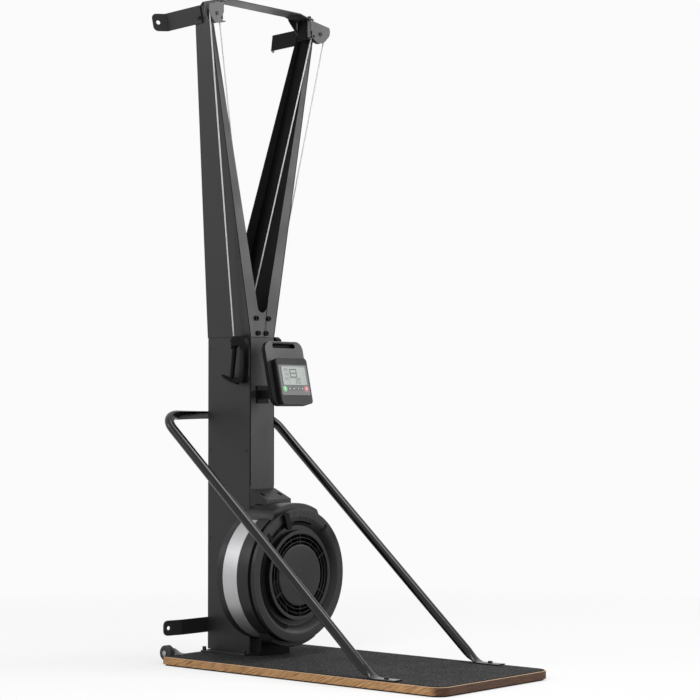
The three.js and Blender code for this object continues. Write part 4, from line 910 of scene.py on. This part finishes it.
# %% Front cover
SLOPE_RADIUS = 0.197
cover = [(211, 257.7), (211, 247), (222, 247), (222, 233), (197, 233), (190, 234), (182, 238),
         (174, 244.5), (167, 250), (138, 250), (138, 253), (168, 253), (176, 247.5), (184, 241),
         (191, 237), (197, 236), (219, 236), (219, 244), (208, 244), (208, 257.7)]
top_slot = shifted(slab(arc_outline(175.5, lambda angle: 180.5, 68, 112, 32), 225, 252))
slotted = cut(spun(cover, 1.2, 3), top_slot)
front = dress("front_cover", slotted, MOULDED, "flywheel_front_cover")


def from_axle(centre):
    return hypot(centre.x, centre.z - FLY_Z * MM)


# painted shade: the slope's side that turns from the light
repainted(front, BLACK_AND_SHADE, lambda centre, normal: normal.x > 0.16 and normal.y < 0
          and from_axle(centre) < SLOPE_RADIUS)

# %% [markdown]
# ## Grille cap
# The cap is a flat disc inside rings of slots. The rings are circles swept with a small round
# section by Geometry Nodes, and six spokes hold them. The disc and the rim are turned. The rim's
# outer wall is painted near black, as painted shade.

# %% Grille rings and spokes
GRILLE_Y, CAP_RADIUS = 230.2, 0.1495
SPOKES, FIRST_SPOKE = 6, 30

tree, given = geometry_tree("grille_rings", Int=("Rings", "Spokes"), Float=(
    "Inner Radius", "Pitch", "Rib Radius", "Outer Radius"))
index = add(tree, "GeometryNodeInputIndex")
size = maths(tree, "MULTIPLY_ADD", index, given["Pitch"], given["Inner Radius"])
circle = add(tree, "GeometryNodeCurvePrimitiveCircle", {"Resolution": 120, "Radius": 1})
rings = copied(tree, given["Rings"], circle, Scale=size)
step = maths(tree, "DIVIDE", 2 * pi, given["Spokes"])
angle = maths(tree, "MULTIPLY_ADD", index, step, radians(FIRST_SPOKE))
line = add(tree, "GeometryNodeCurvePrimitiveLine", {
    "Start": add(tree, "ShaderNodeCombineXYZ", {"X": given["Inner Radius"]}),
    "End": add(tree, "ShaderNodeCombineXYZ", {"X": given["Outer Radius"]})})
turn = add(tree, "ShaderNodeCombineXYZ", {"Z": angle})
spokes = copied(tree, given["Spokes"], line, Rotation=turn)
both = add(tree, "GeometryNodeJoinGeometry", {"Geometry": rings})
feed(tree, both, {"Geometry": spokes})
real = add(tree, "GeometryNodeRealizeInstances", {"Geometry": both})
section = add(tree, "GeometryNodeCurvePrimitiveCircle", {
    "Resolution": 10, "Radius": given["Rib Radius"]})
ribs = add(tree, "GeometryNodeCurveToMesh", {
    "Curve": real, "Profile Curve": section, "Fill Caps": True})
GRILLE = closing(tree, ribs, given["Material"])

rings_flat = grown(GRILLE, bpy.data.meshes.new("grille"), {
    "Rings": 2, "Inner Radius": 112 * MM, "Pitch": 14 * MM, "Rib Radius": 1.2 * MM,
    "Spokes": SPOKES, "Outer Radius": 139 * MM, "Material": MOULDED})
rings_up = shifted(moved(rings_flat, Matrix.Rotation(pi / 2, 4, "X")), (0, GRILLE_Y, FLY_Z))
inner_spokes = round_axle(slab(box_outline(102, -1.3, 113, 1.3), -1.2, 1.2), SPOKES, FIRST_SPOKE,
                          360 / SPOKES, MOULDED, (0, GRILLE_Y, FLY_Z))
disc = spun([(0, 228.9), (17, 228.9), (17.6, 229.3), (18.4, 229.3), (19, 228.9), (97, 228.9),
             (101, 229.6), (103, 231.5), (103, 236.5), (100, 236.5), (100, 232), (0, 232)], 0.4)
rim = spun([(137.5, 229.6), (139, 228.7), (149, 228.7), (150, 229.7), (150, 249.7), (146.5, 249.7),
            (146.5, 232), (137.5, 232)], 0.5)
grille = dress("grille", joined(rings_up, inner_spokes, disc, rim), MOULDED, "grill_cap")
# painted shade: the rim's outer wall
repainted(grille, BLACK_AND_SHADE, lambda centre, normal: from_axle(centre) > CAP_RADIUS)

# %% [markdown]
# ## Fan, shaft and drums
# Behind the slots the fan shows as dark blades. It has a hub, a back disc and curved blades, copied
# round the shaft by the tree that also places the scale marks. The drums wind the two cords.

# %% Fan
BLADES, BLADE_HALF, BLADE_LEAN = 22, 0.9, 11
outline = []
for offset, stations in ((-BLADE_HALF, range(9)), (BLADE_HALF, range(8, -1, -1))):
    for i in stations:
        radius = 97 + 100 * i / 8
        angle = radians(BLADE_LEAN * sin(pi * i / 16)) + offset / radius
        outline.append((radius * cos(angle), radius * sin(angle)))
FAN_STEEL = coated("fan_paint", (0.03, 0.03, 0.03), (0.45, 0.6), 300, 0.0001, 0.15)
blades = round_axle(slab(outline, 280, 361.5), BLADES, 0, 360 / BLADES, FAN_STEEL)
hub = spun([(8.8, 278), (25, 278), (25, 361), (198, 361), (198, 364), (8.8, 364)], 0.6)
dress("fan", joined(blades, hub), FAN_STEEL, "fan_rotor")

# %% Shaft, bearings and drums
BORE = 8.8
shaft = spun([(0, 264), (8.5, 264), (8.5, 599.2), (0, 599.2)], steps=48)
dress("shaft", shaft, STEEL, "drive_shaft")
for name, y in (("front_bearing", 400.7), ("rear_bearing", 587.2)):
    race = [(BORE, y), (13, y), (13, y + 0.7), (18, y + 0.7), (18, y), (22, y), (22, y + 12),
            (BORE, y + 12)]
    dress(f"{name}_race", spun(race, 0.4, steps=64), STEEL, name)
for name, _ in SIDES:
    y = DRUM_Y[name]
    reel = [(BORE, y - 16), (30, y - 16), (30, y - 14), (18, y - 14), (18, y + 14), (30, y + 14),
            (30, y + 16), (BORE, y + 16)]
    dress(f"{name}_drum_reel", spun(reel, 0.5, steps=72), MOULDED, f"{name}_cord_drum")

# %% [markdown]
# ## Damper lever and scale
# The lever slides round the front ring and opens the air inlet. Dark scale marks beside it are thin
# raised bars, long and short ones. The ring's two notches are black rounded plates on its face,
# painted shade in place of the hollow notches.

# %% Damper and scale marks
MARK_LOW, MARK_HIGH = 232.4, 233.2
soften("damper_knob", "damper_lever", 2.2, GRIP_AND_SHADE, 3)
for name, inner, count, step in (("short_marks", 208, 20, 2.0), ("long_marks", 186, 5, 9.75)):
    bar = slab(box_outline(inner, -0.7, 214, 0.7), MARK_LOW, MARK_HIGH)
    marks = round_axle(bar, count, -107, step, SCALE_INK)
    dress(name, marks, SCALE_INK, slot="black_plastic")
# black plates stand for the notches: painted shade
notch = slab(rounded_outline(30, 13, 4, 4, centre=(196, 0)), 232.2, MARK_HIGH)
notches = round_axle(notch, 2, -50, -87, BLACK_AND_SHADE)
dress("ring_notch_shades", notches, BLACK_AND_SHADE, slot="black_plastic")

# %% [markdown]
# ## Pulleys
# Each block is two steel cheeks with a hinge barrel. The wheel between them is turned plastic with a
# deep round groove for the cord. The block stands turned by ten degrees, so the wheel and the bumper
# are made straight and then turned.

# %% Pulley blocks, wheels and axles
groove = [(23.6 + 7 * (1 - cos(t)), 4.6 * sin(t))
          for t in (radians(angle) for angle in range(-80, 81, 20))]
wheel = [(5.7, -7), (31, -7), (31, -5), *groove, (31, 5), (31, 7), (5.7, 7)]
stopper = [(0, -11.5), (4, -11.5), (4.6, -10), (4.6, 10), (4, 11.5), (0, 11.5)]
for name, side in SIDES:
    turned = Matrix.Rotation(-side * TURN, 4, "Z")
    pin = (side * PIN[0], PIN[1], 0)
    soften(f"{name}_block_cheeks", f"{name}_pulley_block", 0.9, ZINC)
    made = spun(wheel, 0.4, 2, 96, (side * REACH, 0, PULLEY_Z))
    made = shifted(moved(made, turned), pin)
    dress(f"{name}_cord_wheel", made, MOULDED, f"{name}_pulley_wheel")
    soften(f"{name}_axle_bolt", f"{name}_pulley_axle", 0.6, BLACK_OXIDE)
    soften(f"{name}_hinge_pin", f"{name}_swivel_pin", 0.6, BLACK_OXIDE)
    made = spun(stopper, 0.5, 2, 32, (side * 12, 0, 2161))
    made = shifted(moved(made, turned), pin)
    dress(f"{name}_bumper", made, GRIP_AND_SHADE, slot="grey_steel", body=f"{name}_block")

# %% [markdown]
# ## Handles
# A handle is one moulding: a cap for the cord, a guard round the fingers, a grip and a broad foot.
# The CAD solid joins plain shapes. A voxel remesh melts them into one skin, and a few rounds of
# smoothing give it the soft corners of a moulding.

# %% Handles
for name, _ in SIDES:
    moulding = plain_mesh(
        merged_copy(f"{name}_handle"),
        ("REMESH", {"mode": "VOXEL", "voxel_size": 0.0013}),
        ("SMOOTH", {"factor": 0.5, "iterations": 7}),
    )
    dress(f"{name}_grip_moulding", moulding, GRIP_AND_SHADE, f"{name}_handle", smooth=180)

# %% [markdown]
# ## Display unit
# The housing is a rounded shell with a block in front, and a slot sunk into its forehead. The panel
# carries a grey label, a pale display with dark segments, and six keys. All of it is made flat, in
# the panel's own frame, and then tilted into place. The housing's sides and back are a darker black
# plastic, and the slot's walls and floor are painted shade in the same black.

# %% Display housing and panel
PANEL = Matrix.Translation(Vector((0, 255, 953)) * MM) @ Matrix.Rotation(radians(-12.5), 4, "X")
PANEL_BACK = PANEL.inverted()
FORWARD = PANEL.to_3x3() @ Vector((0, -1, 0))
FRONT_TILT, FRONT_DEPTH = 0.6, 0.03
forehead_slot = slab(rounded_outline(112, 15, 7, 6, centre=(0, 126)), 18, 37)
housing = cut(merged_copy("console_housing"), moved(forehead_slot, PANEL), bevel(3.2, 3))
shell = dress("display_housing", housing, CONSOLE, "console_housing")
# the slot's walls and floor in black: painted shade; the sides and back: darker plastic
repainted(shell, BLACK_AND_SHADE, lambda centre, normal: normal.dot(FORWARD) < FRONT_TILT
          or (PANEL_BACK @ centre).y > FRONT_DEPTH)
soften("display_bezel", "console_panel", 1.6, PANEL_BLACK, 3, 40)


def on_panel(name, mesh, material, node=None, slot="console_plastic", body="display_unit"):
    dress(name, moved(mesh, PANEL), material, node, slot, body)


label = slab(rounded_outline(139, 104, 4, 6, centre=(0, 3.5)), -0.2, 0.0)
on_panel("display_label", label, LABEL)
glass = slab(rounded_outline(116, 65, 1.6, 6, centre=(0, 18)), -1.9, -0.15, width=0.4)
on_panel("display_glass", glass, LCD, "display_lens")

# %% [markdown]
# The figures are seven-segment digits. A digit is a set of short bars, so one function draws it at
# any size, and small bars make the ruled marks round the edge of the glass.

# %% Segments of the display
SEGMENTS = {"0": "abcdef", "2": "abged", "5": "afgcd", "7": "abc", "8": "abcdefg"}


def bar(*corners):
    return slab(box_outline(*corners), -2.05, -1.85)


def digit(figure, x, z, width, height, stroke):
    """The bars of a figure whose lower left corner is at x, z."""
    right, top = x + width, z + height
    under, over = z + (height - stroke) / 2, z + (height + stroke) / 2
    boxes = {
        "a": (x, top - stroke, right, top), "b": (right - stroke, over, right, top - stroke),
        "c": (right - stroke, z + stroke, right, under), "d": (x, z, right, z + stroke),
        "e": (x, z + stroke, x + stroke, under), "f": (x, over, x + stroke, top - stroke),
        "g": (x, under, right, over),
    }
    return [bar(*boxes[part]) for part in SEGMENTS[figure]]


figures = digit("8", -20, 11, 34, 30, 3.8)
figures += digit("2", 4, -9, 10, 16, 2.2) + digit("0", 17, -9, 10, 16, 2.2)
for row, figure in enumerate("075"):
    for column, part in enumerate(figure + "0"):
        figures += digit(part, -46 + 9 * column, 34 - 16 * row, 6, 9, 1.2)
figures += [bar(-54 + 9.6 * i, 47.2, -49 + 9.6 * i, 48.4) for i in range(12)]
figures += [bar(44, 38 - 10 * i, 52, 39 - 10 * i) for i in range(5)]
figures += [bar(-27, -11, -26.2, 41), bar(-24, 9.5, 36, 10.3)]
on_panel("display_figures", joined(*figures), INK, slot="lcd")

# %% [markdown]
# The white keys carry an arrow each, at its angle. The green and the red one have a square mark and
# a printed ring round them.

# %% Keys
KEY_ROW, KEY_STEP = -27, 21
ROUND = [(0, -1.5), (3.5, -1.45), (5.2, -1.2), (6, -0.7), (6, 3.5), (0, 3.5)]
PRINT = [(6.8, -0.3), (9.5, -0.3), (9.5, -0.15), (6.8, -0.15)]
KEYS = [("green", "", GREEN, None), ("white", "_1", LABEL, 180), ("white", "_2", LABEL, 90),
        ("white", "_3", LABEL, -90), ("white", "_4", LABEL, 0), ("red", "", RED, None)]
for i, (color, number, material, angle) in enumerate(KEYS):
    key, x = f"{color}_key{number}", (i - 2.5) * KEY_STEP
    cap = spun(ROUND, 0.3, 2, 40, (x, 0, KEY_ROW))
    on_panel(f"{key}_cap", cap, material, f"{color}_button{number}")
    if angle is None:
        on_panel(f"{key}_print", spun(PRINT, 0.8, 2, 40, (x, 0, KEY_ROW)), material)
        kind, sign = "mark", rounded_outline(5, 5, 1.2, 4, centre=(x, KEY_ROW))
    else:
        tips = [radians(angle) + t for t in (0, 2.2, -2.2)]
        kind, sign = "arrow", [(3 * cos(t) + x, 3 * sin(t) + KEY_ROW) for t in tips]
    on_panel(f"{key}_{kind}", slab(sign, -1.62, -1.46), WHITE, slot=f"button_{color}", body=key)

# %% [markdown]
# ## Transport wheels
# Small rubber wheels stand at the back corners, just clear of the floor. Each has two grooves, a
# step at the rim and a hub. The profile is written as one half and mirrored.

# %% Transport wheels
half = [(6.6, -12), (20, -12), (21, -11), (24, -11), (26, -9), (26, -4), (25, -3.4), (25, -2.6),
        (26, -2)]
tread = half + [(radius, -along) for radius, along in reversed(half)]
for name, side in SIDES:
    made = spun(tread, 0.3, 2, 72, (side * 236, 621, 36), "X")
    dress(f"{name}_wheel_tread", made, TYRE, f"{name}_transport_wheel")

# %% [markdown]
# ## Screws and bolts
# Every screw comes from the screw tree. A list says where each one stands and how it faces.

# %% Screws and bolts
FRONT, BACK, UP = (0, -1, 0), (0, 1, 0), (0, 0, 1)
COVER = ((592, 1065), (422, 1065), (592, 718), (422, 718), (592, 416))
ARM = ((-30, 1167), (30, 1167), (-21, 1116.5), (18, 1116.5))
screws("cover_screws", [((side * 60.5, *yz), (side, 0, 0)) for _, side in SIDES for yz in COVER],
       4.2, 1.4, BLACK_OXIDE, 20, 0.45, 0.3)
screws("arm_bolts", [((x, FRONT_FACE, z), FRONT) for x, z in ARM], 9.5, 6, GRIP_AND_SHADE)
screws("foot_plate_bolts", [((x, y, 37), UP) for x in (-96, 96) for y in (396, 584)], 7, 12)
screws("brace_bolts", [((x, -366, 37.3), UP) for x in (-262, 262)], 8, 5)
screws("wall_bracket_bolts",
       [((side * 269.9, 446, 2162), (side, 0, 0.19)) for _, side in SIDES], 7.5, 4.5)
screws("lower_bracket_bolts", [((x, 608.3, 119.5), BACK) for x in (-36, 36)], 7.5, 4.5)
screws("display_bracket_bolts",
       [((x, 400.7, z), FRONT) for x in (-24, 24) for z in (886, 930)], 3.6, 2.4)

# %% [markdown]
# ## Studio floor
# The floor is a pale sheet that keeps the object's shadow. It fades out with distance, so that no
# horizon shows between it and the backdrop. Its glow is for the camera alone, and lights nothing.

# %% Floor
FLOOR_HALF, FADE_START, FADE_END = 7, 0.9, 3.2
GLOW, GLOW_SHARE = 1.03, 0.6

material, tree, shader = blank_material("studio_floor")
feed(tree, shader, {
    "Base Color": (0.9, 0.9, 0.9, 1), "Roughness": 0.9, "Specular IOR Level": 0.1})
glow = add(tree, "ShaderNodeEmission", {"Strength": GLOW})
eye = add(tree, "ShaderNodeLightPath").outputs["Is Camera Ray"]
pale = add(tree, "ShaderNodeMixShader", {"Fac": times(tree, eye, GLOW_SHARE), 1: shader, 2: glow})
reach = add(tree, "ShaderNodeVectorMath", {0: object_place(tree)}, operation="LENGTH")
fade = ranged(tree, reach.outputs["Value"], FADE_START, FADE_END)
clear = add(tree, "ShaderNodeBsdfTransparent")
faded = add(tree, "ShaderNodeMixShader", {"Fac": fade, 1: pale, 2: clear})
feed(tree, tree.nodes["Material Output"], {"Surface": faded})
bm = bmesh.new()
bmesh.ops.create_grid(bm, x_segments=1, y_segments=1, size=FLOOR_HALF)
floor = in_scene("studio_floor", from_bmesh(bm, False))
floor.data.materials.append(material)
scene.view_settings.view_transform = "Standard"
print("floor:", floor.name)
